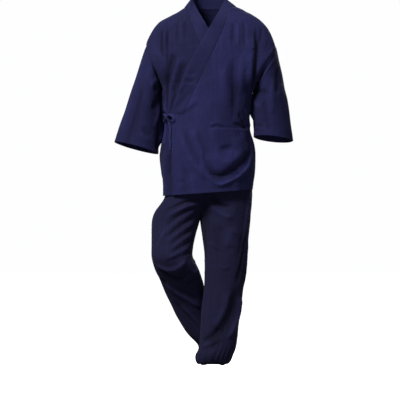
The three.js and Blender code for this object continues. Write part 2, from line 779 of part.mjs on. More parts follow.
for (const [side, leg] of Object.entries(LEGS)) {
  add(`leg_${side}_front`, wall(legSpots(leg, true), false));
  add(`leg_${side}_back`, wall(legSpots(leg, false), false));
  add(`cuff_${side}`, wall(casingSpots(leg), true));
}
add('waistband', wall(waistbandSpots(), true));

add('knot', knotSolid());
for (const [name, rows] of Object.entries(LOOPS)) {
  add(name, loopStrip(rows));
}
for (const [name, rows] of Object.entries(TAILS)) {
  add(name, tailStrip(rows));
}

export default samue;
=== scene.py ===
"""A samue in the shape it takes when worn: a wrapped cotton jacket over trousers gathered at the ankles."""

import math

import bmesh
import bpy
import numpy as np
from bpy.props import FloatProperty, FloatVectorProperty, PointerProperty
from mathutils import Matrix, Vector


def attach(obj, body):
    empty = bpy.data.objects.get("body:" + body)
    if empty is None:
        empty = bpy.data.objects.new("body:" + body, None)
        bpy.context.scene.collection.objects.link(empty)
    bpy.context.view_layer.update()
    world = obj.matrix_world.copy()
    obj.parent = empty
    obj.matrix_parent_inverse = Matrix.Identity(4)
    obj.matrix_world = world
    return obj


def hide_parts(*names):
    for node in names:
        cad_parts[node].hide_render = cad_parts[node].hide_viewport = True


bl_info = {
    "name": "Samue Set",
    "version": (1, 0, 0),
    "blender": (4, 5, 0),
    "location": "3D View > Sidebar > Samue",
    "description": "Builds a wrapped cotton jacket and gathered trousers in worn shape",
    "category": "Add Mesh",
}

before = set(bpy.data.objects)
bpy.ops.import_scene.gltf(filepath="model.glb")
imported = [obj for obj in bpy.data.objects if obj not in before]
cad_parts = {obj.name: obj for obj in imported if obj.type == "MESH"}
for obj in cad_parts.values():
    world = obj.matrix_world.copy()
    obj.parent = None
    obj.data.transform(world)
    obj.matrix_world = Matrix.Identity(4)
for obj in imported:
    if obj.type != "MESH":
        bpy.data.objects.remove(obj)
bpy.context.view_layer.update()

# Tables and forms are in millimetres, seen from the front: x to the wearer's left, z up.
MM = 0.001
QUARTER = math.pi / 2


# ---- numbers
def table(columns, rows):
    """The named columns of some rows."""
    return {name: np.array([row[i] for row in rows], float) for i, name in enumerate(columns.split())}


def ease(start, stop, value):
    """0 at start and 1 at stop, with a soft beginning and end."""
    share = np.clip((np.asarray(value, float) - start) / (stop - start), 0, 1)
    return share * share * (3 - 2 * share)


def mix(a, b, share):
    return a + (b - a) * share


def bell(distance, width):
    """1 at no distance, dying away over the width."""
    return np.exp(-((distance / width) ** 2))


def smooth(places, values, at):
    """A smooth curve through the values, which never swings past them."""
    order = np.argsort(places)
    x, y = places[order], values[order]
    step = np.diff(x)
    rise = np.diff(y) / step
    slope = np.zeros_like(y)
    slope[0], slope[-1] = rise[0], rise[-1]
    same = rise[:-1] * rise[1:] > 0
    before, after = np.where(same, rise[:-1], 1), np.where(same, rise[1:], 1)
    w1, w2 = 2 * step[1:] + step[:-1], step[1:] + 2 * step[:-1]
    slope[1:-1] = np.where(same, (w1 + w2) / (w1 / before + w2 / after), 0)
    i = np.clip(np.searchsorted(x, at) - 1, 0, len(x) - 2)
    t = np.clip((at - x[i]) / step[i], 0, 1)
    return (
        y[i] * (1 + 2 * t) * (1 - t) ** 2
        + y[i + 1] * t * t * (3 - 2 * t)
        + step[i] * (slope[i] * t * (1 - t) ** 2 + slope[i + 1] * t * t * (t - 1))
    )


def even(values, index):
    """A smooth curve through evenly spaced values, at an index that need not be whole."""
    last = len(values) - 1
    i = np.clip(np.floor(index).astype(int), 0, last - 1)
    t = index - i
    a, b = values[i], values[i + 1]
    rise_a = (b - values[np.maximum(i - 1, 0)]) / 2
    rise_b = (values[np.minimum(i + 2, last)] - a) / 2
    return (
        a * (1 + 2 * t) * (1 - t) ** 2
        + rise_a * t * (1 - t) ** 2
        + b * t * t * (3 - 2 * t)
        + rise_b * t * t * (t - 1)
    )


def points(x, y, z):
    return np.stack(np.broadcast_arrays(x, y, z), axis=-1).astype(float)


def unit(v):
    return v / np.maximum(np.linalg.norm(v, axis=-1, keepdims=True), 1e-9)


def along(grid, axis):
    """Distance travelled over a grid of points, along its rows (1) or its columns (0)."""
    steps = np.linalg.norm(np.diff(grid, axis=axis), axis=-1)
    start = np.zeros_like(np.take(steps, [0], axis=axis))
    return np.cumsum(np.concatenate([start, steps], axis=axis), axis=axis)


def grid_normals(grid):
    return unit(np.cross(np.gradient(grid, axis=1), np.gradient(grid, axis=0)))


# ---- folds
FOLD_DEPTH = 1.5             # how deep the folds are drawn, over their listed heights


class Fold:
    """One fold: a ridge (height above 0) or trough along a smooth path, on a flat map of the cloth.

    lean makes its left side steep (above 0) or its right side. start and end are the shares of
    its length over which it rises and dies away: 0 where it runs out over an edge.
    """

    PIECES = 10                # straight pieces between two points of the path
    REACH = 3.2                # how far it is felt, over its width

    def __init__(self, width, height, lean, start, end, *path):
        self.width, self.height, self.lean = width, height, lean
        self.start, self.end = start, end
        self.path = path

    def lift(self, across, up, place):
        """Its height over a map, where place turns the path's points into places on that map."""
        knots = np.array(self.path, float)
        index = np.linspace(0, len(knots) - 1, self.PIECES * (len(knots) - 1) + 1)
        line = np.stack(place(even(knots[:, 0], index), even(knots[:, 1], index)), axis=-1)
        reach = self.REACH * self.width
        low, high = line.min(axis=0) - reach, line.max(axis=0) + reach
        near = (across > low[0]) & (across < high[0]) & (up > low[1]) & (up < high[1])
        out = np.zeros(across.shape)
        if not near.any():
            return out
        spot = np.stack([across[near], up[near]], axis=-1)
        best = np.full(len(spot), np.inf)
        share, side = np.zeros(len(spot)), np.zeros(len(spot))
        count = len(line) - 1
        for i in range(count):
            a, way = line[i], line[i + 1] - line[i]
            rel = spot - a
            t = np.clip(rel @ way / max(way @ way, 1e-9), 0, 1)
            off = rel - t[:, None] * way
            far = np.hypot(off[:, 0], off[:, 1])
            closer = far < best
            best = np.where(closer, far, best)
            share = np.where(closer, (i + t) / count, share)
            side = np.where(closer, np.sign(way[0] * rel[:, 1] - way[1] * rel[:, 0]), side)
        fade = np.ones(len(spot))
        if self.start:
            fade = fade * ease(0, self.start, share)
        if self.end:
            fade = fade * ease(0, self.end, 1 - share)
        width = self.width * (0.75 + 0.25 * fade) * (1 - self.lean * side * np.tanh(best / self.width))
        out[near] = self.height * fade * bell(best, width)
        return out


def fold_lift(folds, across, up, place):
    total = np.zeros(across.shape)
    for fold in folds:
        total += fold.lift(across, up, place)
    return total * FOLD_DEPTH


NOISE_KNOTS = 64             # cells each way before the unevenness repeats
NOISE_START = (31.7, 29.3)   # where the map's middle lies among them


def soft_noise(across, up, size, seed):
    """Smooth unevenness of about one unit, over a map in millimetres."""
    knots = np.random.RandomState(seed).uniform(-1, 1, (NOISE_KNOTS, NOISE_KNOTS))
    x, y = across / size + NOISE_START[0], up / size + NOISE_START[1]
    i, j = np.floor(x).astype(int), np.floor(y).astype(int)
    s, t = ease(0, 1, x - i), ease(0, 1, y - j)

    def at(a, b):
        return knots[(i + a) % NOISE_KNOTS, (j + b) % NOISE_KNOTS]

    return mix(mix(at(0, 0), at(1, 0), s), mix(at(0, 1), at(1, 1), s), t)


def rumple(across, up, seed, strength=1.0, hang=0.0):
    """The small unevenness that all worn cotton has: swellings, creases, and ripples where it hangs."""
    bend = 14 * soft_noise(across, up, 90, seed)
    broad = 1.5 * soft_noise(across + bend, up * 0.55, 62, seed + 1)
    fine = 0.55 * soft_noise(across - bend, up * 0.7 + bend, 23, seed + 2)
    lines = soft_noise(across + 2 * bend, up + 2 * bend, 34, seed + 3)
    crease = 1.5 * (1 - np.minimum(1, np.abs(lines) * 4)) * soft_noise(across, up, 70, seed + 4)
    ripple = hang * soft_noise(across + 0.3 * bend, up * 0.13, 11, seed + 5)
    return strength * (broad + fine + crease) + ripple * (0.55 + 0.45 * soft_noise(across, up, 110, seed + 6))


# ---- sizes of the jacket
TORSO = table("z right left front back", [
    (-2, 86, 92, 50, 62),
    (-13, 108, 137, 59, 72),
    (-32, 149, 176, 70, 86),
    (-56, 193, 208, 82, 98),
    (-95, 222, 238, 97, 111),
    (-147, 242, 259, 112, 121),
    (-161, 237, 265, 115, 123),
    (-230, 211, 225, 125, 129),
    (-310, 180, 174, 132, 129),
    (-318, 179, 172, 132, 129),
    (-400, 170, 160, 135, 124),
    (-458, 171, 157, 136, 122),
    (-493, 176, 165, 136, 124),
    (-530, 184, 177, 136, 127),
    (-570, 190, 182, 136, 130),
    (-630, 184, 180, 134, 134),
    (-680, 177, 174, 131, 137),
    (-732, 177, 168, 128, 139),
])
# Levels that the rows pass through, at the right and left side seams, and the rows up to the next.
LOW_LEVELS = [(-729, -704, 20), (-652, -640, 46), (-469, -471, 14), (-413, -418, 2), (-409, -415, 26)]
NECK_LEVELS = [
    (-120, -128, 8), (-95, -98, 7), (-72, -70, 7), (-50, -44, 7), (-30, -24, 8), (-13, -10, 8), (-2, -2, 8),
]
HOLE_ROWS = 44                # rows beside the armholes
COLLAR_FRONT = table("z seam free free_z", [
    (-415, -90, -145, -413),
    (-345, -64, -118, -335),
    (-289, -38, -97, -269),
    (-200, 4, -53, -176),
    (-107, 47, -4, -90),
    (-56, 67, 28, -34),
    (-32, 74, 46, -2),
    (-13, 80, 56, 22),
    (-2, 83, 61, 36),
])
LEAD_EDGE = {1: -138.0, -1: -120.0}   # how far each front reaches past the middle, below the collar
LAP, TUCK = 5.0, 2.5          # how far the over front stands off the form, and the under front within it
V_DEPTH = 92.0                # how far the collar stands before the neck, at the foot of the V
GIRTH = 240.0                 # a quarter of the body, round the outside
NEARBY = ((-36, 1), (-18, 4), (0, 6), (18, 4), (36, 1))   # heights averaged away from the armholes' edges
EDGE_ONLY = 12                # how late the cloth takes on the armhole's edge
SEAM_GAP = 0.15               # how far a front panel stops short of its seam
SEAM_LAP = 0.9                # how far a back panel runs on beneath it
LAP_SINK, LAP_WIDTH = 0.4, 2.5   # how deep and over what width that edge sinks


class Arm:
    """An armhole, from its shoulder point to the armpit, and the cuff that its sleeve runs to."""

    def __init__(self, side, top, bottom, outer, inner, y, depth, tilt, bow):
        self.side, self.top, self.bottom = side, top, bottom
        self.outer, self.inner = outer, inner
        self.y, self.depth, self.tilt, self.bow = y, depth, tilt, bow
        self.reach = 78.0

    def hole_depth(self, share):
        """How far the armhole's edge stands before and behind the arm, from the armpit to the top."""
        return self.reach * share * np.sqrt(np.clip((1 - share) * (13.9 - 11.8 * share), 0, None))

    def inner_depth(self, share):
        """The same without its sharp top, for the cloth away from the armhole."""
        return self.reach * ease(-0.08, 0.42, share) * ease(1.12, 0.65, share)

    def share(self, z):
        """Height as a share of the armhole, from the armpit up."""
        return (z - self.bottom[1]) / (self.top[1] - self.bottom[1])


ARMS = {
    -1: Arm(-1, (-242, -147), (-180, -310), (-365, -520), (-195, -566), -18, 62, 8, 0),
    1: Arm(1, (265, -161), (172, -318), (324, -517), (174, -500), -6, 76, 11, 6),
}


# ---- form of the body
def body_rows():
    """Heights of the rows at the right and left side seams, from the hem to the neck."""
    keys = LOW_LEVELS + [(ARMS[-1].bottom[1], ARMS[1].bottom[1], 0)]
    right, left = [], []
    for (r0, l0, count), (r1, l1, _) in zip(keys, keys[1:]):
        share = np.arange(count) / count
        right += list(mix(r0, r1, share))
        left += list(mix(l0, l1, share))
    share = (1 - np.cos(np.pi * np.arange(HOLE_ROWS + 1) / HOLE_ROWS)) / 2
    right += list(mix(ARMS[-1].bottom[1], ARMS[-1].top[1], share))
    left += list(mix(ARMS[1].bottom[1], ARMS[1].top[1], share))
    for r1, l1, count in NECK_LEVELS:
        share = np.arange(1, count + 1) / count
        r0, l0 = right[-1], left[-1]
        right += list(mix(r0, r1, share))
        left += list(mix(l0, l1, share))
    return np.array(right), np.array(left)


def section(is_left, is_front, z, away=False):
    """Half width and reach of the body at a height, and the turn from its middle to its edge."""
    reach = np.where(is_front, smooth(TORSO["z"], TORSO["front"], z), smooth(TORSO["z"], TORSO["back"], z))
    half = np.where(is_left, smooth(TORSO["z"], TORSO["left"], z), smooth(TORSO["z"], TORSO["right"], z))
    end = np.full(np.shape(half), QUARTER)
    for side, arm in ARMS.items():
        share, on_side = arm.share(z), is_left == (side > 0)
        within = np.clip(share, 0, 1)
        depth = arm.inner_depth(share) if away else arm.hole_depth(within)
        turn = np.arccos(np.clip(depth / reach, -1, 1))
        edge = np.where(share == within, abs(mix(arm.bottom[0], arm.top[0], within)), half)
        half = np.where(on_side, edge / np.sin(turn), half)
        end = np.where(on_side, turn, end)
    return half, reach, end


def eased_section(is_left, is_front, z):
    """The section averaged over nearby heights, for the cloth away from the armholes' edges."""
    rows = [(weight, section(is_left, is_front, z + shift, True)) for shift, weight in NEARBY]
    total = sum(weight for weight, _ in rows)
    return [sum(weight * row[k] for weight, row in rows) / total for k in range(3)]


def body_point(around, right, left):
    """A place on the body: around is 0 at the front's middle, -1 and 1 at the sides, 2 at the back."""
    around = (around + 2) % 4 - 2
    is_front = np.abs(around) <= 1
    turn = np.where(is_front, around, np.sign(around) * (2 - np.abs(around)))
    z = mix(right, left, (1 + np.sin(turn * QUARTER)) / 2)
    at_edge, inside = section(turn >= 0, is_front, z), eased_section(turn >= 0, is_front, z)
    half, reach, end = (mix(soft, own, turn ** EDGE_ONLY) for soft, own in zip(inside, at_edge))
    y = np.where(is_front, -reach, reach) * np.cos(end * turn)
    return points(half * np.sin(end * turn), y, z)


def body_normal(around, right, left, is_front):
    """Outward direction, taken from this side of the side seams beside an armhole."""
    step = 0.006
    edge = np.minimum(np.abs(around - 1), np.abs(around + 1)) if is_front else np.abs(np.abs(around - 2) - 1)
    z = mix(right, left, (around > 0) if is_front else (around < 2))
    beside = np.zeros(np.shape(edge), bool)
    for side, arm in ARMS.items():
        on_side = (around > 0) == (side > 0) if is_front else (around < 2) == (side > 0)
        share = arm.share(z)
        beside |= on_side & (share > 0.001) & (share < 0.999) & (edge < step)
    inner = around + np.where(beside, np.sign(-around if is_front else 2 - around) * step, 0)
    across = body_point(inner + step, right, left) - body_point(inner - step, right, left)
    upward = body_point(inner, right + 0.5, left + 0.5) - body_point(inner, right - 0.5, left - 0.5)
    return unit(np.cross(across, upward))


def front_around(x, z):
    """How far round the body a place on the front lies, from -1 to 1."""
    half, _, end = eased_section(np.asarray(x) > 0, True, np.asarray(z, float))
    return np.arcsin(np.clip(x / half, -1, 1)) / end


def front_place(x, z):
    """Turns a place seen from the front into one on the body's map."""
    return front_around(x, z) * GIRTH, z


def back_place(x, z):
    """The same for a place on the back, in the front's x."""
    half, _, end = eased_section(np.asarray(x) > 0, False, np.asarray(z, float))
    return (2 - np.arcsin(np.clip(x / half, -1, 1)) / end) * GIRTH, z


def lap_lift(side, around):
    """How far the over front (side 1) stands out, or the under front in, where the two lap."""
    if side > 0:
        return LAP * ease(0.98, 0.83, around)
    return -TUCK * ease(-0.75, -0.6, around)


# ---- folds of the jacket, seen from the front or from behind in the same x
FRONT_FOLDS = [
    # wearer's right shoulder and armhole
    Fold(5, -5.5, 0.2, 0.25, 0.3, (-181, -84), (-179, -140), (-174, -205)),
    Fold(5, 3.4, 0, 0.3, 0.3, (-171, -80), (-169, -140), (-164, -215)),
    Fold(5, -5, 0, 0.3, 0.3, (-161, -76), (-160, -145), (-160, -225)),
    Fold(6, 2.6, 0, 0.3, 0.3, (-150, -86), (-150, -150), (-153, -235)),
    Fold(14, -6.5, 0.2, 0.3, 0.25, (-130, -180), (-146, -240), (-163, -318)),
    Fold(13, 3.6, 0, 0.3, 0.3, (-112, -190), (-127, -250), (-144, -325)),
    Fold(13, -4.5, 0.2, 0.35, 0.3, (-86, -205), (-104, -262), (-125, -325)),
    Fold(12, 2.4, 0, 0.35, 0.3, (-66, -225), (-88, -275), (-110, -335)),
    Fold(6, -1.8, 0, 0.3, 0.3, (-92, -254), (-68, -261), (-46, -255)),
    Fold(7, 1.8, 0, 0.3, 0.3, (-92, -267), (-66, -275), (-44, -269)),
    Fold(6, -1.6, 0, 0.3, 0.3, (-94, -283), (-70, -292), (-50, -288)),
    Fold(7, 1.4, 0, 0.3, 0.3, (-94, -298), (-72, -305), (-56, -302)),
    # drawn in above the tie
    Fold(5, 5, 0, 0.3, 0.1, (-172, -305), (-173, -355), (-164, -408)),
    Fold(7, -6, 0, 0.3, 0.1, (-160, -290), (-160, -350), (-158, -410)),
    Fold(6, -5.5, 0, 0.3, 0.1, (-178, -315), (-179, -360), (-168, -410)),
    Fold(8, 4, 0, 0.3, 0.1, (-147, -295), (-146, -345), (-152, -408)),
    Fold(6, -4, 0.2, 0.3, 0.1, (-134, -300), (-132, -350), (-147, -406)),
    Fold(9, 3, 0, 0.3, 0.2, (-98, -292), (-112, -345), (-136, -400)),
    Fold(9, -3, 0, 0.3, 0.2, (-66, -325), (-88, -355), (-124, -396)),
    Fold(10, 2.5, 0, 0.3, 0.2, (-40, -345), (-72, -385), (-118, -412)),
    Fold(13, -1.6, 0, 0.3, 0.2, (-30, -372), (-70, -398), (-122, -422)),
    # wearer's left shoulder and armhole
    Fold(9, -7, -0.2, 0.3, 0.2, (182, -70), (186, -160), (178, -240), (163, -328)),
    Fold(7, -2.4, 0, 0.3, 0.3, (204, -80), (202, -115), (196, -150)),
    Fold(15, 4.5, 0.2, 0.3, 0.3, (168, -115), (164, -210), (155, -325)),
    Fold(19, -5, 0, 0.3, 0.35, (97, -190), (93, -265), (100, -345), (94, -445)),
    Fold(17, 3, 0, 0.35, 0.35, (126, -185), (124, -260), (131, -335)),
    Fold(22, 2.2, 0, 0.35, 0.35, (64, -230), (60, -310), (72, -400)),
    Fold(9, -3.6, 0, 0.3, 0.1, (112, -405), (127, -440), (143, -470)),
    Fold(10, 2.6, 0, 0.3, 0.2, (134, -385), (146, -425), (158, -466)),
    Fold(26, -2, 0, 0.4, 0.4, (20, -150), (-8, -230), (-48, -300)),
    Fold(5, 1.3, 0, 0.25, 0.25, (-3, -478), (14, -452), (38, -446), (60, -462), (72, -478)),
    Fold(5, -1.3, 0, 0.25, 0.25, (8, -476), (24, -461), (44, -459), (60, -474)),
    Fold(4, -1.7, 0, 0.1, 0.1, (-6, -463), (60, -465), (146, -468)),
    Fold(7, -3.4, 0, 0.3, 0.15, (88, -452), (116, -458), (150, -470)),
    # fine vertical lines of the chest, and the hollow between the tails
    Fold(5, -2.4, 0, 0.3, 0.3, (96, -58), (95, -100), (93, -155)),
    Fold(5, 2, 0, 0.3, 0.3, (114, -60), (114, -105), (112, -160)),
    Fold(5, -2.2, 0, 0.3, 0.3, (136, -52), (138, -100), (137, -160)),
    Fold(5, -2.4, 0, 0.3, 0.3, (-124, -56), (-122, -100), (-121, -145)),
    Fold(5, 1.8, 0, 0.3, 0.3, (-107, -52), (-106, -95), (-104, -140)),
    Fold(4, -1.8, 0, 0.3, 0.3, (-92, -48), (-90, -88), (-88, -128)),
    Fold(4, -3.4, 0, 0.2, 0.3, (-157, -440), (-156, -490), (-158, -545)),
    # sag below the pocket, its rim and the ridges that run down to it
    Fold(7, 5.6, 0.3, 0.2, 0.3, (-30, -530), (-15, -605), (12, -664), (38, -685), (70, -677), (114, -652),
         (147, -613), (162, -570), (168, -528)),
    Fold(15, -7.5, 0, 0.25, 0.25, (2, -596), (16, -640), (44, -655), (80, -639), (113, -610), (146, -575),
         (162, -545)),
    Fold(24, 6, 0, 0.4, 0.4, (22, -565), (62, -600), (104, -582), (136, -548)),
    Fold(13, -4.5, 0, 0.4, 0.4, (42, -540), (66, -548), (92, -536)),
    Fold(6, -4, 0, 0.3, 0.3, (-22, -560), (-7, -622), (14, -656)),
    Fold(12, 4.2, 0.2, 0.3, 0.25, (-112, -478), (-82, -560), (-42, -625), (-2, -668)),
    Fold(9, -3.6, 0, 0.3, 0.25, (-97, -474), (-64, -556), (-26, -626)),
    Fold(10, 3.4, 0, 0.3, 0.3, (-62, -466), (-37, -540), (-8, -604)),
    Fold(9, -2.6, 0, 0.3, 0.3, (-45, -470), (-22, -535), (0, -590)),
    Fold(20, 3, 0, 0.35, 0.0, (-62, -640), (-50, -690), (-44, -735)),
    Fold(16, -3, 0, 0.35, 0.0, (-90, -600), (-84, -670), (-82, -735)),
    Fold(15, 2.4, 0, 0.35, 0.0, (96, -668), (104, -695), (106, -725)),
    Fold(5, -1.5, 0, 0.3, 0.3, (-122, -671), (-104, -677), (-88, -675)),
    Fold(9, -3.5, 0, 0.3, 0.3, (-152, -560), (-151, -610), (-154, -665)),
    Fold(9, 2.5, 0, 0.3, 0.1, (-168, -540), (-170, -620), (-166, -735)),
]
BACK_FOLDS = [
    Fold(13, -7, 0.2, 0.25, 0.2, (178, -100), (172, -200), (158, -325)),
    Fold(13, 4.5, 0, 0.3, 0.3, (154, -110), (150, -210), (138, -330)),
    Fold(16, -4.5, 0, 0.3, 0.35, (120, -150), (118, -240), (100, -345)),
    Fold(14, 2.8, 0, 0.35, 0.35, (92, -170), (92, -260), (76, -360)),
    Fold(12, -6.5, -0.2, 0.25, 0.2, (-172, -95), (-168, -190), (-160, -315)),
    Fold(14, 4.2, 0, 0.3, 0.3, (-148, -105), (-146, -205), (-138, -325)),
    Fold(15, -4, 0, 0.3, 0.35, (-112, -160), (-116, -250), (-96, -350)),
    Fold(30, -3, 0, 0.35, 0.4, (4, -60), (0, -170), (6, -290)),
    Fold(20, 4, 0, 0.35, 0.0, (-118, -430), (-112, -560), (-122, -735)),
    Fold(17, -4.6, 0, 0.35, 0.0, (-82, -410), (-76, -550), (-84, -735)),
    Fold(21, 4.6, 0, 0.35, 0.0, (-40, -440), (-34, -580), (-38, -735)),
    Fold(16, -3.6, 0, 0.35, 0.0, (12, -450), (6, -590), (10, -735)),
    Fold(19, 4.2, 0, 0.35, 0.0, (56, -430), (62, -570), (54, -735)),
    Fold(16, -4.8, 0, 0.35, 0.0, (96, -420), (104, -560), (98, -735)),
    Fold(16, 4, 0, 0.35, 0.0, (140, -440), (146, -580), (138, -735)),
    Fold(9, -3.4, 0, 0.1, 0.35, (-172, -405), (-120, -392), (-66, -398)),
    Fold(9, 2.8, 0, 0.1, 0.35, (-172, -425), (-128, -410), (-80, -414)),
    Fold(8, -2.6, 0, 0.1, 0.35, (-172, -448), (-132, -436), (-96, -440)),
    Fold(10, -2.6, 0, 0.1, 0.35, (162, -396), (112, -384), (58, -390)),
    Fold(9, 2.2, 0, 0.1, 0.35, (160, -420), (118, -404), (76, -408)),
]


def body_lift(around, z):
    """How far the worn cloth of the jacket stands off its plain form."""
    across = around * GIRTH
    lift = fold_lift(FRONT_FOLDS, across, z, front_place)
    back = np.where(across < -GIRTH / 2, across + 4 * GIRTH, across)
    lift = lift + fold_lift(BACK_FOLDS, back, z, back_place)
    lift = lift + rumple(back, z, 11, 0.8, 1.0)
    collar_zone = ease(-60, -2, z)
    side_gap = np.abs(np.abs(around) - 1)
    near_hole = np.zeros(z.shape)
    for arm in ARMS.values():
        share = arm.share(z)
        near_hole = np.maximum(near_hole, ease(-0.2, 0.05, share) * ease(1.6, 1.0, share))
    seam = 1 - near_hole * ease(0.07, 0.0, side_gap)
    return lift * seam * (1 - collar_zone)


def sewn(distance, depth=0.9, width=2.6):
    """The little valley in which two pieces are sewn together."""
    return -depth * bell(distance, width)


# ---- form of the fronts, the collar and the pocket
ROWS_RIGHT, ROWS_LEFT = body_rows()
POCKET_FOOT = LOW_LEVELS[0][2]
POCKET_MOUTH = POCKET_FOOT + LOW_LEVELS[1][2]
COLLAR_START = sum(count for _, _, count in LOW_LEVELS[:4])
POCKET_SIDE = 148.0
POCKET_PLUMB, POCKET_REACH = -440, 0.86  # its side edge runs straight down from here, short of the side seam
FOOT_LAP = 2.2                           # how far the collar's foot runs on below its last row
NECK_FREE = (63, 40, 54, 58)             # half width and height at the sides, reach and height behind
SHOULDER_ROWS = 9                        # rows of the collar from each front to the back of the neck
COLLAR_STAND = {"leaves": -95, "left": -60, "tilts": -70, "upright": 30}


OVER_ACROSS, UNDER_ACROSS, BACK_ACROSS, COLLAR_ACROSS, SLEEVE_ROUND, SLEEVE_ALONG = 120, 84, 138, 18, 112, 84


class Surface:
    """A grid of places with the way out at each, the map under it, and how far folds move it."""

    def __init__(self, base, normal, lift, across, up):
        self.base, self.normal, self.lift = base, normal, lift
        self.across, self.up = across, up

    def grid(self, out=0.0):
        return self.base + self.normal * np.asarray(self.lift + out)[..., None]


def body_surface(around, right, left, is_front, side=0):
    """The worn cloth of the jacket over a grid; side names a front, 1 the over one and -1 the under one."""
    base = body_point(around, right, left)
    normal = body_normal(around, right, left, is_front)
    lift = body_lift(around, base[..., 2])
    if side:
        lift = lift + lap_lift(side, around)
    x, z = base[..., 0], base[..., 2]
    across = mix(around * GIRTH, x + (0 if is_front else 2 * GIRTH - 2 * x), ease(-300, -130, z))
    return Surface(base, normal, lift, across, z)


def lead_around(side):
    """Where the front's leading edge and collar seam run, row by row."""
    z = (ROWS_RIGHT + ROWS_LEFT) / 2
    seam = smooth(COLLAR_FRONT["z"], COLLAR_FRONT["seam"], z)
    x = np.where(np.arange(len(z)) < COLLAR_START, LEAD_EDGE[side] * side, side * seam)
    return front_around(x, z)


def over_rows(around, right=ROWS_RIGHT, left=ROWS_LEFT):
    """The rows' heights at the two side seams, for every place of a grid."""
    return 0 * around + right[:, None], 0 * around + left[:, None]


def front_surface(side, columns):
    """A front, from its leading edge or the collar's seam to the side seam and the armhole."""
    lead = lead_around(side)
    end = side * (1 - SEAM_GAP / GIRTH)
    z = (ROWS_RIGHT + ROWS_LEFT) / 2
    still = front_around(side * np.maximum(-60, 30 + smooth(COLLAR_FRONT["z"], COLLAR_FRONT["seam"], z)), z)
    still = mix(still, mix(lead, end, 0.2), ease(-120, -40, z))[:, None]
    share = np.linspace(0, 1, columns + 1)[None, :]
    near, far = mix(lead[:, None], still, share / 0.2), mix(still, end, (share - 0.2) / 0.8)
    around = np.where(share < 0.2, near, far)
    surface = body_surface(around, *over_rows(around), True, side)
    to_lead = along(surface.grid(), 1)
    in_collar = ease(COLLAR_START - 2, COLLAR_START, np.arange(len(lead)))[:, None]
    surface.lift = surface.lift + sewn(to_lead[:, -1:] - to_lead) + sewn(to_lead) * in_collar
    return surface


def back_surface(columns):
    """The back, which runs on a little beneath the fronts along the shoulders and the side seams."""
    laps = []
    for side, rows in ((1, ROWS_LEFT), (-1, ROWS_RIGHT)):
        share = ARMS[side].share(rows)
        laps.append(np.where((share < -0.02) | (share > 1.02), -SEAM_LAP, SEAM_GAP)[:, None] / GIRTH)
    around = mix(1 + laps[0], 3 - laps[1], np.linspace(0, 1, columns + 1)[None, :])
    surface = body_surface(around, *over_rows(around), False)
    to_left = along(surface.base, 1)
    to_right = to_left[:, -1:] - to_left
    surface.lift = surface.lift + sewn(to_left) + sewn(to_right)
    surface.lift = surface.lift - LAP_SINK * (ease(LAP_WIDTH, 0, to_left) + ease(LAP_WIDTH, 0, to_right))
    return surface


def pocket_surface(rows, columns):
    """The over front's cloth beneath the pocket, on a grid of its own."""
    index = np.linspace(POCKET_FOOT, POCKET_MOUTH, rows + 1)
    at = np.arange(len(ROWS_RIGHT))
    right, left = np.interp(index, at, ROWS_RIGHT), np.interp(index, at, ROWS_LEFT)
    edge = front_around(POCKET_SIDE + 0 * left, np.minimum(left, POCKET_PLUMB))
    around = np.minimum(edge, POCKET_REACH)[:, None] * np.linspace(0, 1, columns + 1)[None, :]
    return body_surface(around, *over_rows(around, right, left), True, 1)


def collar_base():
    """Cross rows of the collar from the tie over one shoulder, round the neck and down to the other front."""
    part = np.linspace(0, 1, COLLAR_ACROSS + 1)[None, :]
    top = TORSO["z"].max()
    blocks = []
    for side in (1, -1):
        lead = lead_around(side)[COLLAR_START:]
        right, left = ROWS_RIGHT[COLLAR_START:], ROWS_LEFT[COLLAR_START:]
        seam = body_surface(lead[:, None], right[:, None], left[:, None], True, side).grid()[:, 0]
        z = (right + left) / 2
        free_x = side * smooth(COLLAR_FRONT["z"], COLLAR_FRONT["free"], z)
        free_z = smooth(COLLAR_FRONT["z"], COLLAR_FRONT["free_z"], z)
        rows = [(seam, free_x, free_z)]
        shoulder = np.linspace(lead[-1], side, SHOULDER_ROWS)[1:-1, None]
        over_top = body_surface(shoulder, 0 * shoulder + top, 0 * shoulder + top, True, side)
        share = np.linspace(0, 1, SHOULDER_ROWS)[1:-1]
        rows.append((over_top.grid()[:, 0], mix(free_x[-1], side * NECK_FREE[0], share),
                     mix(free_z[-1], NECK_FREE[1], share)))
        seam, free_x, free_z = (np.concatenate(parts) for parts in zip(*rows))
        stand = COLLAR_STAND
        free_y = mix(-V_DEPTH - lap_lift(side, 0.0), -4, ease(stand["tilts"], stand["upright"], free_z))
        x, height = mix(seam[:, None, 0], free_x[:, None], part), mix(seam[:, None, 2], free_z[:, None], part)
        below = np.minimum(height, top)
        around = front_around(x, below)
        on_body = body_surface(around, below, below, True, side).grid()
        upright = points(x, mix(seam[:, None, 1], free_y[:, None], part), height)
        cells = mix(on_body, upright, ease(stand["leaves"], stand["left"], free_z)[:, None, None])
        cells[:, 0] = seam
        cells[0, :, 2] -= FOOT_LAP
        blocks.append(cells)
    seam = back_surface(BACK_ACROSS).grid()[-1]
    turn = np.pi * np.linspace(0, 1, BACK_ACROSS + 1)
    half, side_z, nape, nape_z = NECK_FREE
    free = points(half * np.cos(turn), mix(-2, nape, np.sin(turn) ** 0.8), mix(side_z, nape_z, np.sin(turn)))
    neck = mix(seam[:, None], free[:, None], part[..., None])
    return np.concatenate([blocks[0], neck, blocks[1][::-1]])


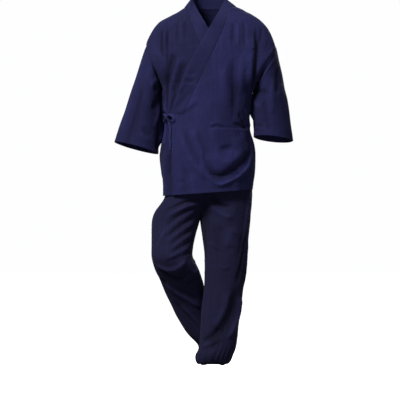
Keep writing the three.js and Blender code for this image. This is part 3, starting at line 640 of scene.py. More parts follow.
# ---- form of the sleeves
SLEEVE_FOLDS = {
    -1: [
        Fold(27, 14, 0, 0.04, 0.2, (196, 0), (199, 40), (197, 92)),
        Fold(14, -9, 0, 0.1, 0.1, (160, 4), (164, 50), (161, 98)),
        Fold(11, -6, 0.2, 0.15, 0.3, (168, 1), (150, 14), (132, 30), (112, 52)),
        Fold(12, 5, 0, 0.15, 0.3, (178, 8), (160, 26), (146, 48), (132, 70)),
        Fold(9, -3.5, 0, 0.2, 0.3, (150, 1), (128, 10), (108, 24)),
        Fold(9, 3, 0, 0.2, 0.3, (128, 2), (108, 12), (92, 26)),
        Fold(20, 3, 0, 0.3, 0.2, (22, 6), (34, 45), (28, 99)),
        Fold(16, -3, 0, 0.3, 0.0, (62, 30), (70, 60), (66, 100)),
        Fold(10, -2.4, 0, 0.3, 0.3, (98, 74), (112, 80), (128, 78)),
        Fold(8, 1.8, 0, 0.3, 0.3, (92, 82), (110, 88), (126, 87)),
        Fold(13, -5, 0, 0.15, 0.3, (200, 3), (222, 28), (238, 62)),
        Fold(13, 4, 0, 0.15, 0.3, (188, 10), (204, 40), (214, 78)),
        Fold(15, -3.6, 0, 0.2, 0.2, (256, 4), (262, 40), (252, 90)),
        Fold(17, 3, 0, 0.3, 0.0, (292, 10), (300, 55), (294, 100)),
        Fold(12, -2.6, 0, 0.3, 0.1, (326, 14), (330, 50), (322, 92)),
    ],
    1: [
        Fold(26, 10, 0, 0.4, 0.4, (180, 14), (180, 40), (180, 66)),
        Fold(8, 1.4, 0, 0.3, 0.3, (20, 4), (60, 5), (104, 7), (150, 9)),
        Fold(10, -4, 0.2, 0.15, 0.3, (166, 2), (140, 12), (112, 26), (84, 40)),
        Fold(11, 3.6, 0, 0.15, 0.3, (178, 8), (156, 24), (136, 42), (116, 58)),
        Fold(12, -3.4, 0, 0.3, 0.3, (40, 16), (50, 30), (58, 46)),
        Fold(14, 2.8, 0, 0.3, 0.3, (66, 20), (80, 45), (86, 70)),
        Fold(13, -3, 0, 0.3, 0.2, (110, 40), (108, 66), (98, 96)),
        Fold(7, -2.6, 0, 0.3, 0.3, (166, 75), (142, 80), (116, 85)),
        Fold(7, 2, 0, 0.3, 0.3, (160, 82), (138, 87), (114, 91)),
        Fold(20, 2.6, 0, 0.3, 0.0, (10, 40), (16, 70), (12, 100)),
        Fold(13, -4.6, 0, 0.15, 0.3, (202, 3), (226, 26), (244, 58)),
        Fold(13, 4, 0, 0.15, 0.3, (190, 9), (206, 38), (218, 74)),
        Fold(15, -3.6, 0, 0.2, 0.2, (260, 5), (266, 45), (256, 92)),
        Fold(17, 3, 0, 0.3, 0.0, (296, 12), (304, 55), (298, 100)),
        Fold(12, -2.6, 0, 0.3, 0.1, (328, 16), (334, 52), (326, 92)),
    ],
}
TURN_MM, PERCENT_MM = 1.33, 3.0           # a degree round a sleeve and a hundredth down it, on its map
ARMHOLE_PRESS = {-1: 6.5, 1: 3.0}         # depth of the valley along the front of each armhole
SLEEVE_TUCK = 1.6                         # how far a sleeve's end is drawn in from its armhole


def sleeve_point(arm, turn, part):
    """A place on a sleeve: turn is 0 on top, a quarter at the front; part runs from armhole to cuff."""
    up = (1 + np.cos(turn)) / 2
    start = points(
        mix(arm.bottom[0], arm.top[0], up),
        -np.sign(np.round(np.sin(turn), 9)) * arm.hole_depth(up),
        mix(arm.bottom[1], arm.top[1], up),
    )
    stop = points(
        mix(arm.inner[0], arm.outer[0], up),
        arm.y - arm.depth * np.sin(turn),
        mix(arm.inner[1], arm.outer[1], up) + arm.tilt * np.sin(turn),
    )
    bow = arm.side * arm.bow * np.maximum(0, np.cos(turn)) * np.sin(np.pi * part)
    return mix(start, stop, np.asarray(part)[..., None]) + points(bow, 0 * bow, 0 * bow)


def sleeve_place(shift):
    """Turns degrees round a sleeve and hundredths down it into a place on its map, whole turns further on."""
    def place(degrees, percent):
        return (degrees + shift) * TURN_MM, percent * PERCENT_MM

    return place


def sleeve_surface(arm):
    """A sleeve from its armhole to its cuff."""
    part = np.linspace(0, 1, SLEEVE_ALONG + 1)[:, None]
    turn = np.linspace(0, 2 * np.pi, SLEEVE_ROUND + 1)[None, :] + 0 * part
    part = part + 0 * turn
    base = sleeve_point(arm, turn, part)
    round_it = sleeve_point(arm, turn + 0.02, part) - sleeve_point(arm, turn - 0.02, part)
    down_it = sleeve_point(arm, turn, part + 0.01) - sleeve_point(arm, turn, part - 0.01)
    normal = unit(np.cross(round_it, down_it) * arm.side)
    off = points(arm.top[1] - arm.bottom[1], 0.0, arm.bottom[0] - arm.top[0])
    base = base - unit(off) * arm.side * SLEEVE_TUCK * ease(0.04, 0, part)[..., None]
    across, up = np.degrees(turn) * TURN_MM, part * 100 * PERCENT_MM
    lift = np.zeros(turn.shape)
    for shift in (-360, 0, 360):
        lift += fold_lift(SLEEVE_FOLDS[arm.side], across, up, sleeve_place(shift))
    wave = sum(
        0.9 * soft_noise(90 * np.cos(turn) + 40 * k, 90 * np.sin(turn) + up, 46 + 9 * k, 40 + k + arm.side)
        for k in range(2)
    )
    lift = (lift + wave) * ease(0, 9, up)
    to_hole = along(base, 0)
    at_front = ease(-0.1, 0.5, np.sin(turn)) * ease(1.0, 0.6, np.cos(turn))
    lift = lift + sewn(to_hole, 0.6) + sewn(to_hole - 4, ARMHOLE_PRESS[arm.side], 7) * at_front
    return Surface(base, normal, lift, across, -up)


# ---- form of the trousers
LEG_COLUMNS = "z inner outer y front back turn"
LEG_TOP = [
    (-480, 0, 147, 0, 104, 104, 0),
    (-540, -3, 160, 0, 109, 114, -3),
    (-600, -8, 166, 0, 111, 122, -8),
    (-655, -14, 168, 0, 105, 115, -15),
    (-700, -19, 168.3, 0, 98, 109, -27),
]
LEGS = {
    1: table(LEG_COLUMNS, LEG_TOP + [
        (-738, -24, 168.5, 0, 90, 101, -42),
        (-785, -30, 166, -1, 89, 104, -64),
        (-820, -33, 163, -2, 86, 98, -90),
        (-878, -26, 157, -4, 82, 90, -90),
        (-936, -18, 152, -8, 78, 84, -90),
        (-997, -15, 147, -12, 74, 78, -90),
        (-1051, -16, 140, -16, 70, 74, -90),
        (-1102, -19, 133, -19, 68, 72, -90),
        (-1158, -27, 128, -22, 67, 70, -90),
        (-1213, -30, 120, -25, 66, 69, -90),
        (-1269, -34, 114, -28, 65, 68, -90),
        (-1315, -38, 107, -30, 66, 68, -90),
        (-1345, -51, 96, -31, 66, 68, -90),
        (-1367, -50, 86, -32, 60, 62, -90),
        (-1379, -40, 74, -32, 52, 54, -90),
        (-1377, -34, 66, -32, 46, 48, -90),
        (-1365, -30, 62, -32, 43, 45, -90),
    ]),
    -1: table(LEG_COLUMNS, [(z, a, -b - 2.5, *rest) for z, a, b, *rest in LEG_TOP] + [
        (-738, -24, -172.5, 0, 90, 101, -42),
        (-785, -30, -206, -1, 89, 104, -64),
        (-820, -33, -219, -2, 86, 98, -90),
        (-869, -47, -220, -14, 84, 88, -90),
        (-936, -60, -221, -32, 82, 82, -90),
        (-970, -58, -220, -38, 80, 80, -90),
        (-1008, -40, -210, -24, 78, 78, -90),
        (-1053, -24, -190, 8, 74, 76, -90),
        (-1100, -12, -171, 42, 68, 70, -90),
        (-1141, 4, -152, 64, 65, 66, -90),
        (-1208, 30, -119, 89, 62, 62, -90),
        (-1269, 52, -80, 104, 60, 60, -90),
        (-1313, 82, -40, 112, 60, 60, -90),
        (-1345, 84, -44, 114, 60, 62, -90),
        (-1367, 78, -42, 114, 56, 58, -90),
        (-1379, 70, -32, 114, 50, 52, -90),
        (-1377, 64, -28, 114, 46, 47, -90),
        (-1365, 60, -26, 114, 43, 44, -90),
    ]),
}
LEG_MM = 80.0                # millimetres of the leg's map for one radian round it
LEG_FOLDS = {
    -1: [
        Fold(8, -4.2, 0.2, 0.0, 0.3, (-24, -740), (-90, -754), (-176, -790)),
        Fold(8, 3, 0, 0.1, 0.3, (-34, -757), (-98, -776), (-178, -822)),
        Fold(6, -2.8, 0, 0.1, 0.3, (-50, -776), (-104, -800), (-176, -850)),
        Fold(7, 2.4, 0, 0.1, 0.3, (-54, -792), (-108, -822), (-184, -880)),
        Fold(7, -3.2, 0.2, 0.1, 0.3, (-56, -812), (-108, -845), (-180, -900)),
        Fold(6, 2.4, 0, 0.2, 0.3, (-56, -834), (-105, -864), (-164, -912)),
        Fold(6, -2.6, 0, 0.2, 0.3, (-54, -856), (-100, -882), (-156, -926)),
        Fold(6, 2.2, 0, 0.2, 0.3, (-62, -878), (-104, -902), (-150, -938)),
        Fold(6, -2.4, 0, 0.2, 0.3, (-62, -900), (-106, -926), (-154, -956)),
        Fold(7, 2, 0, 0.2, 0.3, (-66, -924), (-110, -946), (-160, -972)),
        Fold(8, -2.2, 0, 0.2, 0.3, (-70, -948), (-118, -968), (-170, -988)),
        Fold(7, 2.4, 0, 0.3, 0.3, (-160, -860), (-188, -900), (-206, -950)),
        Fold(7, 5.5, 0, 0.2, 0.2, (-204, -992), (-158, -1014), (-119, -1006), (-84, -974)),
        Fold(9, -4.6, -0.2, 0.2, 0.1, (-196, -1012), (-145, -1038), (-110, -1046), (-52, -1026)),
        Fold(7, 4, 0, 0.2, 0.1, (-108, -1054), (-76, -1040), (-38, -1014)),
        Fold(6, -3, 0, 0.3, 0.1, (-98, -1070), (-66, -1060), (-34, -1042)),
        Fold(10, -3.4, 0.2, 0.2, 0.2, (-188, -1052), (-119, -1095), (-36, -1132)),
        Fold(11, 4.5, 0, 0.2, 0.2, (-172, -1066), (-100, -1118), (-24, -1164)),
        Fold(11, -3, 0, 0.2, 0.2, (-140, -1136), (-76, -1200), (-16, -1262)),
        Fold(11, 3.4, 0, 0.2, 0.2, (-112, -1150), (-48, -1220), (10, -1292)),
    ],
    1: [
        Fold(6, 4, 0.2, 0.1, 0.3, (157, -700), (149, -800), (134, -900), (118, -990), (98, -1056)),
        Fold(13, -4.4, 0, 0.3, 0.3, (138, -850), (126, -960), (108, -1085)),
        Fold(11, 3, 0, 0.3, 0.3, (152, -880), (146, -980), (136, -1080)),
        Fold(25, -8, 0.2, 0.3, 0.15, (112, -1066), (95, -1170), (54, -1250), (2, -1318)),
        Fold(13, 5.5, 0, 0.2, 0.2, (126, -1116), (113, -1200), (74, -1284)),
        Fold(14, 4.4, 0, 0.3, 0.2, (82, -1086), (62, -1170), (18, -1244)),
        Fold(6, 1.3, 0, 0.4, 0.4, (-4, -905), (20, -920), (48, -942)),
        Fold(6, -1.1, 0, 0.4, 0.4, (4, -925), (30, -940), (56, -945)),
        Fold(6, 1.2, 0, 0.4, 0.4, (36, -998), (62, -1006), (90, -998)),
        Fold(6, -1, 0, 0.4, 0.4, (42, -1014), (66, -1022), (92, -1014)),
        Fold(18, -5, 0, 0.2, 0.3, (-18, -760), (-14, -880), (-8, -1020)),
        Fold(9, -4.5, 0, 0.1, 0.3, (0, -735), (40, -760), (94, -776)),
        Fold(11, 3.4, 0, 0.1, 0.3, (10, -765), (50, -800), (104, -816)),
        Fold(21, 3.4, 0, 0.3, 0.3, (90, -848), (80, -890), (72, -934)),
        Fold(20, -2.4, 0, 0.3, 0.3, (44, -830), (38, -900), (30, -980)),
        Fold(10, 4.6, 0, 0.2, 0.2, (-24, -1312), (20, -1292), (64, -1268)),
        Fold(9, -3.4, 0, 0.2, 0.2, (-22, -1290), (14, -1268), (46, -1238)),
    ],
}
LEG_BACK_FOLDS = {
    -1: [
        Fold(15, -6, 0, 0.1, 0.3, (-30, -770), (-90, -800), (-160, -850)),
        Fold(13, 4.5, 0, 0.1, 0.3, (-40, -800), (-96, -840), (-170, -880)),
        Fold(11, -6.5, 0.2, 0.2, 0.1, (-186, -960), (-140, -986), (-96, -982), (-60, -956)),
        Fold(9, 5.5, 0, 0.2, 0.1, (-196, -984), (-146, -1010), (-100, -1008), (-52, -978)),
        Fold(10, -6.5, -0.2, 0.2, 0.1, (-190, -1012), (-136, -1036), (-92, -1034), (-44, -1004)),
        Fold(9, 4.5, 0, 0.2, 0.2, (-176, -1044), (-126, -1066), (-80, -1060), (-36, -1036)),
        Fold(12, -4.5, 0, 0.2, 0.2, (-160, -1074), (-110, -1104), (-50, -1100)),
        Fold(15, 4, 0, 0.3, 0.2, (-120, -1130), (-70, -1190), (-6, -1264)),
        Fold(13, -4, 0, 0.3, 0.2, (-96, -1140), (-36, -1210), (20, -1290)),
    ],
    1: [
        Fold(15, -5.5, 0, 0.1, 0.3, (0, -770), (60, -806), (130, -842)),
        Fold(13, 4.2, 0, 0.1, 0.3, (4, -806), (60, -840), (120, -880)),
        Fold(17, 4, 0, 0.3, 0.3, (120, -860), (112, -960), (96, -1060)),
        Fold(15, -4.6, 0, 0.3, 0.3, (86, -880), (78, -970), (60, -1060)),
        Fold(9, -4, 0, 0.2, 0.2, (10, -1000), (52, -1014), (104, -1002)),
        Fold(9, 3.6, 0, 0.2, 0.2, (0, -1026), (50, -1042), (112, -1030)),
        Fold(17, -6, 0, 0.2, 0.2, (110, -1090), (76, -1180), (10, -1270)),
        Fold(15, 5, 0, 0.2, 0.2, (76, -1100), (40, -1190), (-10, -1280)),
        Fold(11, 4, 0, 0.2, 0.2, (90, -1310), (50, -1284), (0, -1300)),
    ],
}
WHOLE_TURN = -1.55           # turn of the inseam from which a leg is a tube of its own
CASING_DROP, CASING_INSET = 18.0, 0.6    # a casing's height, and how far it is drawn in from the leg's end
BAND_GAP = 0.3               # between a leg's end and its band
WAIST_RISE = 38.0
LEG_ROWS, LEG_ACROSS = 232, 66   # cells down and across a panel, then rows, cells round and pleats of a band
CASING_ROWS, CASING_ROUND, CASING_PLEATS = 15, 260, 34
WAIST_ROWS, WAIST_ROUND, WAIST_PLEATS = 20, 560, 96


def leg_at(side, key, index):
    return even(LEGS[side][key], index)


def leg_oval(side, index):
    """The outer seam's place, and the half width of the oval that the leg is or is cut from."""
    opened = np.sin(np.radians(leg_at(side, "turn", index)))
    outer = leg_at(side, "outer", index)
    return outer, (outer - leg_at(side, "inner", index)) / (1 - opened)


def leg_point(side, angle, index):
    """A place on a leg. angle is 0 at its front, a quarter at the side seam and a half at the back."""
    outer, half = leg_oval(side, index)
    depth = np.where(np.cos(angle) > 0, leg_at(side, "front", index), leg_at(side, "back", index))
    return points(
        outer - half + half * np.sin(angle),
        leg_at(side, "y", index) - depth * np.cos(angle),
        leg_at(side, "z", index),
    )


def leg_place(side, is_back):
    """Turns a place seen from the front into one on the leg's map."""
    falling = LEGS[side]["z"][:-2]

    def place(x, z):
        outer, half = leg_oval(side, np.interp(-z, -falling, np.arange(len(falling))))
        angle = np.arcsin(np.clip((x - outer + half) / half, -1, 1))
        return (math.pi - angle if is_back else angle) * LEG_MM, z

    return place


def instep(angle):
    """Rise of a trouser hem where it passes over the foot."""
    return 10 * bell(angle - 0.08, 0.55) - 1.5 * bell(angle - 0.95, 0.4)


def leg_surface(side, is_front):
    """One panel of a leg, from the waist to the casing, between its inner and outer seams."""
    heights = LEGS[side]["z"]
    count = len(heights) - 1
    steps = np.concatenate([[0], np.cumsum(np.hypot(np.diff(heights), 6))])
    index = np.interp(np.linspace(0, steps[-1], LEG_ROWS + 1), steps, np.arange(count + 1))[:, None]
    turn = np.radians(leg_at(side, "turn", index))
    width = np.abs(leg_at(side, "outer", index) - leg_at(side, "inner", index))
    inset = (SEAM_GAP if is_front else -SEAM_LAP) / width
    inner = turn + np.where(turn < WHOLE_TURN, inset, 0)
    share = np.linspace(0, 1, LEG_ACROSS + 1)[None, :]
    angle = mix(inner, QUARTER - inset, share) if is_front else mix(QUARTER + inset, math.pi - inner, share)
    index = index + 0 * angle
    base = leg_point(side, angle, index)
    base[..., 2] += instep(angle) * ease(count - 6, count - 2, index)
    across_it = leg_point(side, angle + 0.01, index) - leg_point(side, angle - 0.01, index)
    below, above = np.minimum(index + 0.03, count), np.maximum(index - 0.03, 0)
    down_it = leg_point(side, angle, below) - leg_point(side, angle, above)
    normal = unit(np.cross(down_it, across_it) * side)
    across, up = angle * LEG_MM, base[..., 2]
    lift = fold_lift(LEG_FOLDS[side], across, up, leg_place(side, False))
    lift += fold_lift(LEG_BACK_FOLDS[side], across, up, leg_place(side, True))
    lift += rumple(across, up, 70 + side, 0.9, 0.5)
    lift = lift * (1 - ease(count - 5.5, count - 2, index)) * ease(-600, -690, up)
    ankle = ease(count - 6.5, count - 2.5, index) * (2.2 - 1.2 * ease(count - 2.5, count, index))
    lift = lift + gathers(angle, 17 + side, 5) * ankle + gathers(angle, 38, 9) * 1.2 * ease(2.5, 0, index)
    line = along(base, 1)
    to_inner = line if is_front else line[:, -1:] - line
    to_outer = line[:, -1:] - to_inner
    at_centre = ease(-850, -812, leg_at(side, "z", index))
    lift = lift * (1 - at_centre * ease(26, 0, to_inner))
    lift = lift + sewn(to_outer) * ease(-690, -730, up) + sewn(to_inner) * (1 - at_centre)
    lift = lift + at_centre * ease(6, 0, to_inner)
    if not is_front:
        at_edges = ease(LAP_WIDTH, 0, to_outer) + ease(LAP_WIDTH, 0, to_inner) * (1 - at_centre)
        lift = lift - LAP_SINK * at_edges
    return Surface(base, normal, lift, across, up)


def gathers(angle, number, seed):
    """Uneven little pleats all round a band, about one unit deep."""
    bend = 0.35 * np.sin(3 * angle + seed) + 0.22 * np.sin(5 * angle + 2 * seed)
    depth = 0.72 + 0.28 * np.sin(4 * angle + 1.3 * seed)
    return depth * np.sin(number * angle + 4.8 * bend) - 0.25


def ring_surface(x, y, half, front, back, heights, count, pleats, rise=0.0):
    """A band round an ankle or the waist."""
    heights = heights[:, None]
    angle = np.linspace(0, 2 * np.pi, count + 1)[None, :] - QUARTER + 0 * heights
    z = heights + rise * instep(angle)
    depth = np.where(np.cos(angle) > 0, front, back)
    base = points(x + half * np.sin(angle), y - depth * np.cos(angle), z)
    normal = unit(points(np.sin(angle) / half, -np.cos(angle) / depth, 0 * angle))
    lift = (0.72 + 0.28 * np.sin(4 * angle)) * np.sin(pleats * angle + 0.9 * np.sin(3 * angle)) - 0.2
    return Surface(base, normal, lift, angle * LEG_MM, z)


# ---- mesh making
STITCH = (3.3, 0.75, 0.75 * 0.9)   # length, width and height of one stitch
STITCH_PITCH, STITCH_STAND = 4.6, 0.1


def mesh_of(name, bm):
    """A new mesh with what bm holds."""
    mesh = bpy.data.meshes.new(name)
    bm.to_mesh(mesh)
    bm.free()
    return mesh


def in_scene(name, data):
    """A new object in the scene, at the origin."""
    thing = bpy.data.objects.new(name, data)
    bpy.context.scene.collection.objects.link(thing)
    return thing


def grid_object(name, surface, thick, out=0.0, closed=False, rim=0.45):
    """One piece of cloth on a surface, with its grain, its fold attribute, a wall and a soft edge."""
    grid = surface.grid(out) * MM
    rows, columns = grid.shape[:2]
    bm = bmesh.new()
    bmesh.ops.create_grid(bm, x_segments=columns - 1, y_segments=rows - 1, size=0.5)
    lattice = sorted(bm.verts, key=lambda v: (round(v.co.y * rows), round(v.co.x * columns)))
    for vert, place in zip(lattice, grid.reshape(-1, 3)):
        vert.co = place
    order = np.array([vert.index for vert in lattice])
    mesh = mesh_of(name, bm)
    flat = np.zeros((rows * columns, 2))
    flat[order] = np.stack([surface.across, surface.up], axis=-1).reshape(-1, 2) * MM
    corners = np.zeros(len(mesh.loops), dtype=np.int32)
    mesh.loops.foreach_get("vertex_index", corners)
    layer = mesh.uv_layers.new(name="UVMap")
    layer.data.foreach_set("uv", flat[corners].astype(np.float32).ravel())
    lift = np.zeros(rows * columns)
    lift[order] = np.broadcast_to(surface.lift, (rows, columns)).ravel()
    mesh.attributes.new("fold", "FLOAT", "POINT").data.foreach_set("value", lift.astype(np.float32))
    bm = bmesh.new()
    bm.from_mesh(mesh)
    if closed:
        bmesh.ops.remove_doubles(bm, verts=bm.verts, dist=1e-6)
    bm.normal_update()
    middle, outward = (Vector(values[rows // 2, columns // 2]) for values in (grid, surface.normal))
    nearest = min(bm.verts, key=lambda v: (v.co - middle).length_squared)
    if nearest.normal.dot(outward) < 0:
        bmesh.ops.reverse_faces(bm, faces=bm.faces)
    bm.to_mesh(mesh)
    bm.free()
    mesh.shade_smooth()
    piece = in_scene(name, mesh)
    wall = piece.modifiers.new("Wall", "SOLIDIFY")
    wall.thickness = thick * MM
    wall.offset = -1.0
    wall.use_rim = True
    edge = piece.modifiers.new("Edge", "BEVEL")
    edge.limit_method = "ANGLE"
    edge.angle_limit = math.radians(62)
    edge.width = rim * MM
    edge.segments = 2
    return piece


def ribbon(path, round_it=0.0):
    """A flat strip along points, its flat side facing out, or turned outward round its own loop."""
    knots = np.array(path, float)
    index = np.linspace(0, len(knots) - 1, 8 * (len(knots) - 1) + 1)
    line = np.stack([even(knots[:, k], index) for k in range(3)], axis=-1)
    way = unit(np.gradient(line, axis=0))
    facing = unit(np.array(STRIP_OUT, float) + round_it * unit(line - line.mean(axis=0)))
    side = unit(np.cross(way, facing))
    face = unit(np.cross(side, way))[:, None]
    step = np.linspace(-1, 1, 9)[None, :]
    beside = step * STRIP_WIDTH / 2
    above = STRIP_CURL * (1 - step ** 2) + STRIP_THICK / 2
    grid = line[:, None] + side[:, None] * beside[..., None] + face * above[..., None]
    travel = along(grid, 0)
    return Surface(grid, np.broadcast_to(face, grid.shape), 0 * travel, 0 * travel + beside, travel), line


def dress(piece, slot, material, *nodes):
    """Gives a piece its material and its place in the frame."""
    piece.data.materials.append(material)
    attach(piece, "root")
    if nodes:
        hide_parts(*nodes)


def panel(node, surface, garment, thick, **shape):
    """The cloth that stands for a node of the jacket or of the trousers."""
    piece = grid_object(f"{node}_cloth", surface, thick, **shape)
    dress(piece, garment, material(garment), node)
    return piece


def at_travel(far, values, distance):
    """The values of a line's points at a distance along it."""
    return np.array([np.interp(distance, far, values[:, k]) for k in range(3)])


def stitch_row(bm, places, normals):
    """One row of machine stitches along a line of points, each a little bar with its ends sunk in."""
    length, width, high = STITCH
    far = along(places[None], 1)[0]
    count = max(1, int(far[-1] / STITCH_PITCH))
    for middle in (np.arange(count) + 0.5) * far[-1] / count:
        start, spot, stop = (at_travel(far, places, middle + shift) for shift in (-length / 2, 0, length / 2))
        way = unit(stop - start)
        side = unit(np.cross(at_travel(far, normals, middle), way))
        up = np.cross(way, side)
        turn = Matrix((way * length, side * width, up * high)).transposed().to_4x4()
        turn.translation = Vector(spot + up * STITCH_STAND)
        bmesh.ops.create_cube(bm, size=1.0, matrix=turn)


def stitches(name, rows, garment):
    """Rows of stitches as one piece. Each row is its places and the ways out there, in millimetres."""
    bm = bmesh.new()
    for places, normals in rows:
        stitch_row(bm, places, normals)
    bmesh.ops.scale(bm, vec=(MM, MM, MM), verts=bm.verts)
    dress(in_scene(name, mesh_of(name, bm)), garment, material("thread"))


# ---- materials
class Nodes:
    """A material's nodes, wired by name."""

    def __init__(self, name):
        self.material = bpy.data.materials.new(name)
        self.material.use_nodes = True
        self.tree = self.material.node_tree
        self.tree.nodes.clear()

    def add(self, kind, inputs=None, **settings):
        node = self.tree.nodes.new(kind)
        for key, value in settings.items():
            setattr(node, key, value)
        for key, value in (inputs or {}).items():
            socket = node.inputs[key]
            if isinstance(value, bpy.types.NodeSocket):
                self.tree.links.new(value, socket)
            else:
                socket.default_value = value
        return node

    def maths(self, operation, a, b):
        return self.add("ShaderNodeMath", {0: a, 1: b}, operation=operation).outputs[0]

    def blend(self, share, a, b, kind="MIX"):
        return self.add("ShaderNodeMix", {0: share, 6: a, 7: b}, data_type="RGBA", blend_type=kind).outputs[2]

    def spread(self, value, low, high, to_low, to_high):
        inputs = {"Value": value, "From Min": low, "From Max": high, "To Min": to_low, "To Max": to_high}
        return self.add("ShaderNodeMapRange", inputs).outputs[0]

    def bump(self, height, distance, strength, over=None):
        """A bumped normal, over another one if it is given."""
        inputs = {"Height": height, "Distance": distance, "Strength": strength}
        if over is not None:
            inputs["Normal"] = over
        return self.add("ShaderNodeBump", inputs).outputs[0]

    def finished(self, inputs):
        """The material, with its one shader."""
        shader = self.add("ShaderNodeBsdfPrincipled", inputs)
        self.add("ShaderNodeOutputMaterial", {"Surface": shader.outputs[0]})
        return self.material


def cotton(name, base, slub, weave, sheen, folds=0.42):
    """Navy cotton: threads woven over and under, slubs that run with the warp, and paler ridges with darker
    troughs, partly dye worn off the ridges and partly painted shade in the folds.
    """
    n = Nodes(name)
    spot = n.add("ShaderNodeUVMap", uv_map="UVMap").outputs[0]

    def noise(scale, detail=2.0, rough=0.5, stretch=(1, 1, 1), shift=(0, 0, 0)):
        mapped = n.add("ShaderNodeMapping", {"Vector": spot, "Scale": stretch, "Location": shift}).outputs[0]
        inputs = {"Vector": mapped, "Scale": scale, "Detail": detail, "Roughness": rough}
        return n.add("ShaderNodeTexNoise", inputs, noise_dimensions="2D").outputs[0]

    warp = noise(1.0, 3.0, 0.6, (330, 11, 1))
    broad = noise(1.0, 2.0, 0.5, (95, 4.5, 1), (3.1, 1.7, 0))
    weft = noise(1.0, 2.0, 0.5, (16, 420, 1), (0.4, 5.3, 0))
    cloud = noise(9.0, 3.0, 0.55)
    streak = n.maths("ADD", n.maths("MULTIPLY", n.spread(warp, 0.3, 0.7, -1, 1), 0.55),
                     n.maths("MULTIPLY", n.spread(broad, 0.35, 0.65, -1, 1), 0.25))
    streak = n.maths("ADD", streak, n.maths("MULTIPLY", n.spread(weft, 0.3, 0.7, -1, 1), 0.2))
    pale = [min(1.0, c * (1 + 2.2 * slub)) + 0.006 * slub for c in base] + [1.0]
    deep = [c * (1 - 0.75 * slub) for c in base] + [1.0]
    colour = n.blend(n.spread(streak, -1.1, 1.1, 0, 1), deep, pale)
    washed = n.spread(cloud, 0.32, 0.68, 0.9, 1.1)
    # painted shade: the fold height lightens the colour on ridges (partly real dye wear) and darkens it in
    # troughs as painted shade; folds sets how strong
    lift = n.add("ShaderNodeAttribute", attribute_name="fold").outputs["Fac"]
    fold_wear_and_shade = n.spread(lift, -6.0, 7.0, 1 - folds, 1 + folds)
    both = n.maths("MULTIPLY", washed, fold_wear_and_shade)
    toned = n.add("ShaderNodeCombineColor", {0: both, 1: both, 2: both}).outputs[0]
    colour = n.blend(1.0, colour, toned, "MULTIPLY")
    threads = []
    for axis in (0, 1):
        mapped = n.add("ShaderNodeSeparateXYZ", {0: spot}).outputs[axis]
        threads.append(n.maths("SINE", n.maths("MULTIPLY", mapped, 2 * math.pi / weave), 0.0))
    cloth = n.maths("MULTIPLY", threads[0], threads[1])
    grain = n.maths("ADD", n.maths("MULTIPLY", cloth, 0.5), n.maths("MULTIPLY", streak, 0.9))
    bump = n.bump(grain, 0.00035, 0.55)
    bump = n.bump(noise(70.0, 3.0, 0.6), 0.0022, 0.5, bump)
    drift = {"Vector": spot, "Scale": 5.0, "Detail": 1.0}
    bent = n.add("ShaderNodeTexNoise", drift, noise_dimensions="2D").outputs[1]
    bent = n.add("ShaderNodeVectorMath", {0: bent, 1: (0.06, 0.06, 0.0)}, operation="MULTIPLY").outputs[0]
    bent = n.add("ShaderNodeVectorMath", {0: bent, 1: spot}, operation="ADD").outputs[0]
    crease = n.add("ShaderNodeTexNoise", {"Vector": bent, "Scale": 15.0, "Detail": 2.5, "Roughness": 0.45},
                   noise_dimensions="2D", noise_type="RIDGED_MULTIFRACTAL").outputs[0]
    return n.finished({
        "Base Color": colour,
        "Normal": n.bump(crease, 0.0035, 0.6, bump),
        "Roughness": n.spread(streak, -1, 1, 0.9, 0.78),
        "Specular IOR Level": 0.12,
        "Sheen Weight": sheen,
        "Sheen Roughness": 0.55,
        "Sheen Tint": (0.5, 0.5, 0.85, 1.0),
    })


def thread(name, base):
    """Cotton sewing thread, twisted, a shade lighter than the cloth."""
    n = Nodes(name)
    spot = n.add("ShaderNodeTexCoord").outputs["Object"]
    twist = n.add("ShaderNodeTexNoise", {"Vector": spot, "Scale": 900.0, "Detail": 2.0}).outputs[0]
    colour = n.blend(twist, [c * 0.7 for c in base] + [1.0], [c * 1.3 for c in base] + [1.0])
    bump = n.bump(twist, 0.0002, 0.6)
    return n.finished({"Base Color": colour, "Normal": bump, "Roughness": 0.7, "Specular IOR Level": 0.3})


# ---- the bow
KNOT = {"x": -153.0, "z": -425.0, "out": 9.4, "size": (9.5, 8.0, 9.5), "layer": 3.2}
STRIP_WIDTH, STRIP_THICK, STRIP_CURL = 9.0, 1.7, 0.25
LOOPS = {
    "bow_loop_side": [(-18, 3, 13), (-27, -1, 8), (-33, -4, -6), (-28, -3, -21), (-18, 1, -18)],
    "bow_loop_front": [(21, 4, 9), (35, 0, 6), (46, -5, -6), (41, -6, -19), (22, 1, -15)],
}
TAILS = {
    "tail_side": [(-162, -450, 4), (-165, -476, 2), (-169, -502, 2), (-172, -528, 2)],
    "tail_front": [(-147, -451, 5), (-146, -478, 3), (-149, -505, 2), (-147, -530, 2), (-148, -553, 2)],
}
TIES = {
    "tie_front": [(-138, -417.5, 7), (-128, -414.5, 6.6)],
    "tie_side": [(-164, -424, 3.5), (-168.5, -425, 1.6)],
}


def on_front(x, z, lift):
    """A place so far off the front, and the way out there."""
    x, z = np.array(float(x)), np.array(float(z))
    around = front_around(x, z)
    normal = body_normal(around, z, z, True)
    return body_point(around, z, z) + normal * lift, normal


def knot_frame():
    """The knot's middle, the way out of the body there and the way across it."""
    place, normal = on_front(KNOT["x"], KNOT["z"], 0)
    out = unit(normal * (1, 1, 0))
    return place + out * KNOT["out"], out, np.array([-out[1], out[0], 0])


KNOT_MIDDLE, KNOT_OUT, KNOT_ACROSS = knot_frame()
STRIP_OUT = unit(KNOT_OUT + np.array([0.35, -0.9, 0.0]))


def from_knot(across, out, up):
    """A place so far across, out and up from the knot's middle."""
    return KNOT_MIDDLE + KNOT_ACROSS * across + KNOT_OUT * out + np.array([0, 0, up])


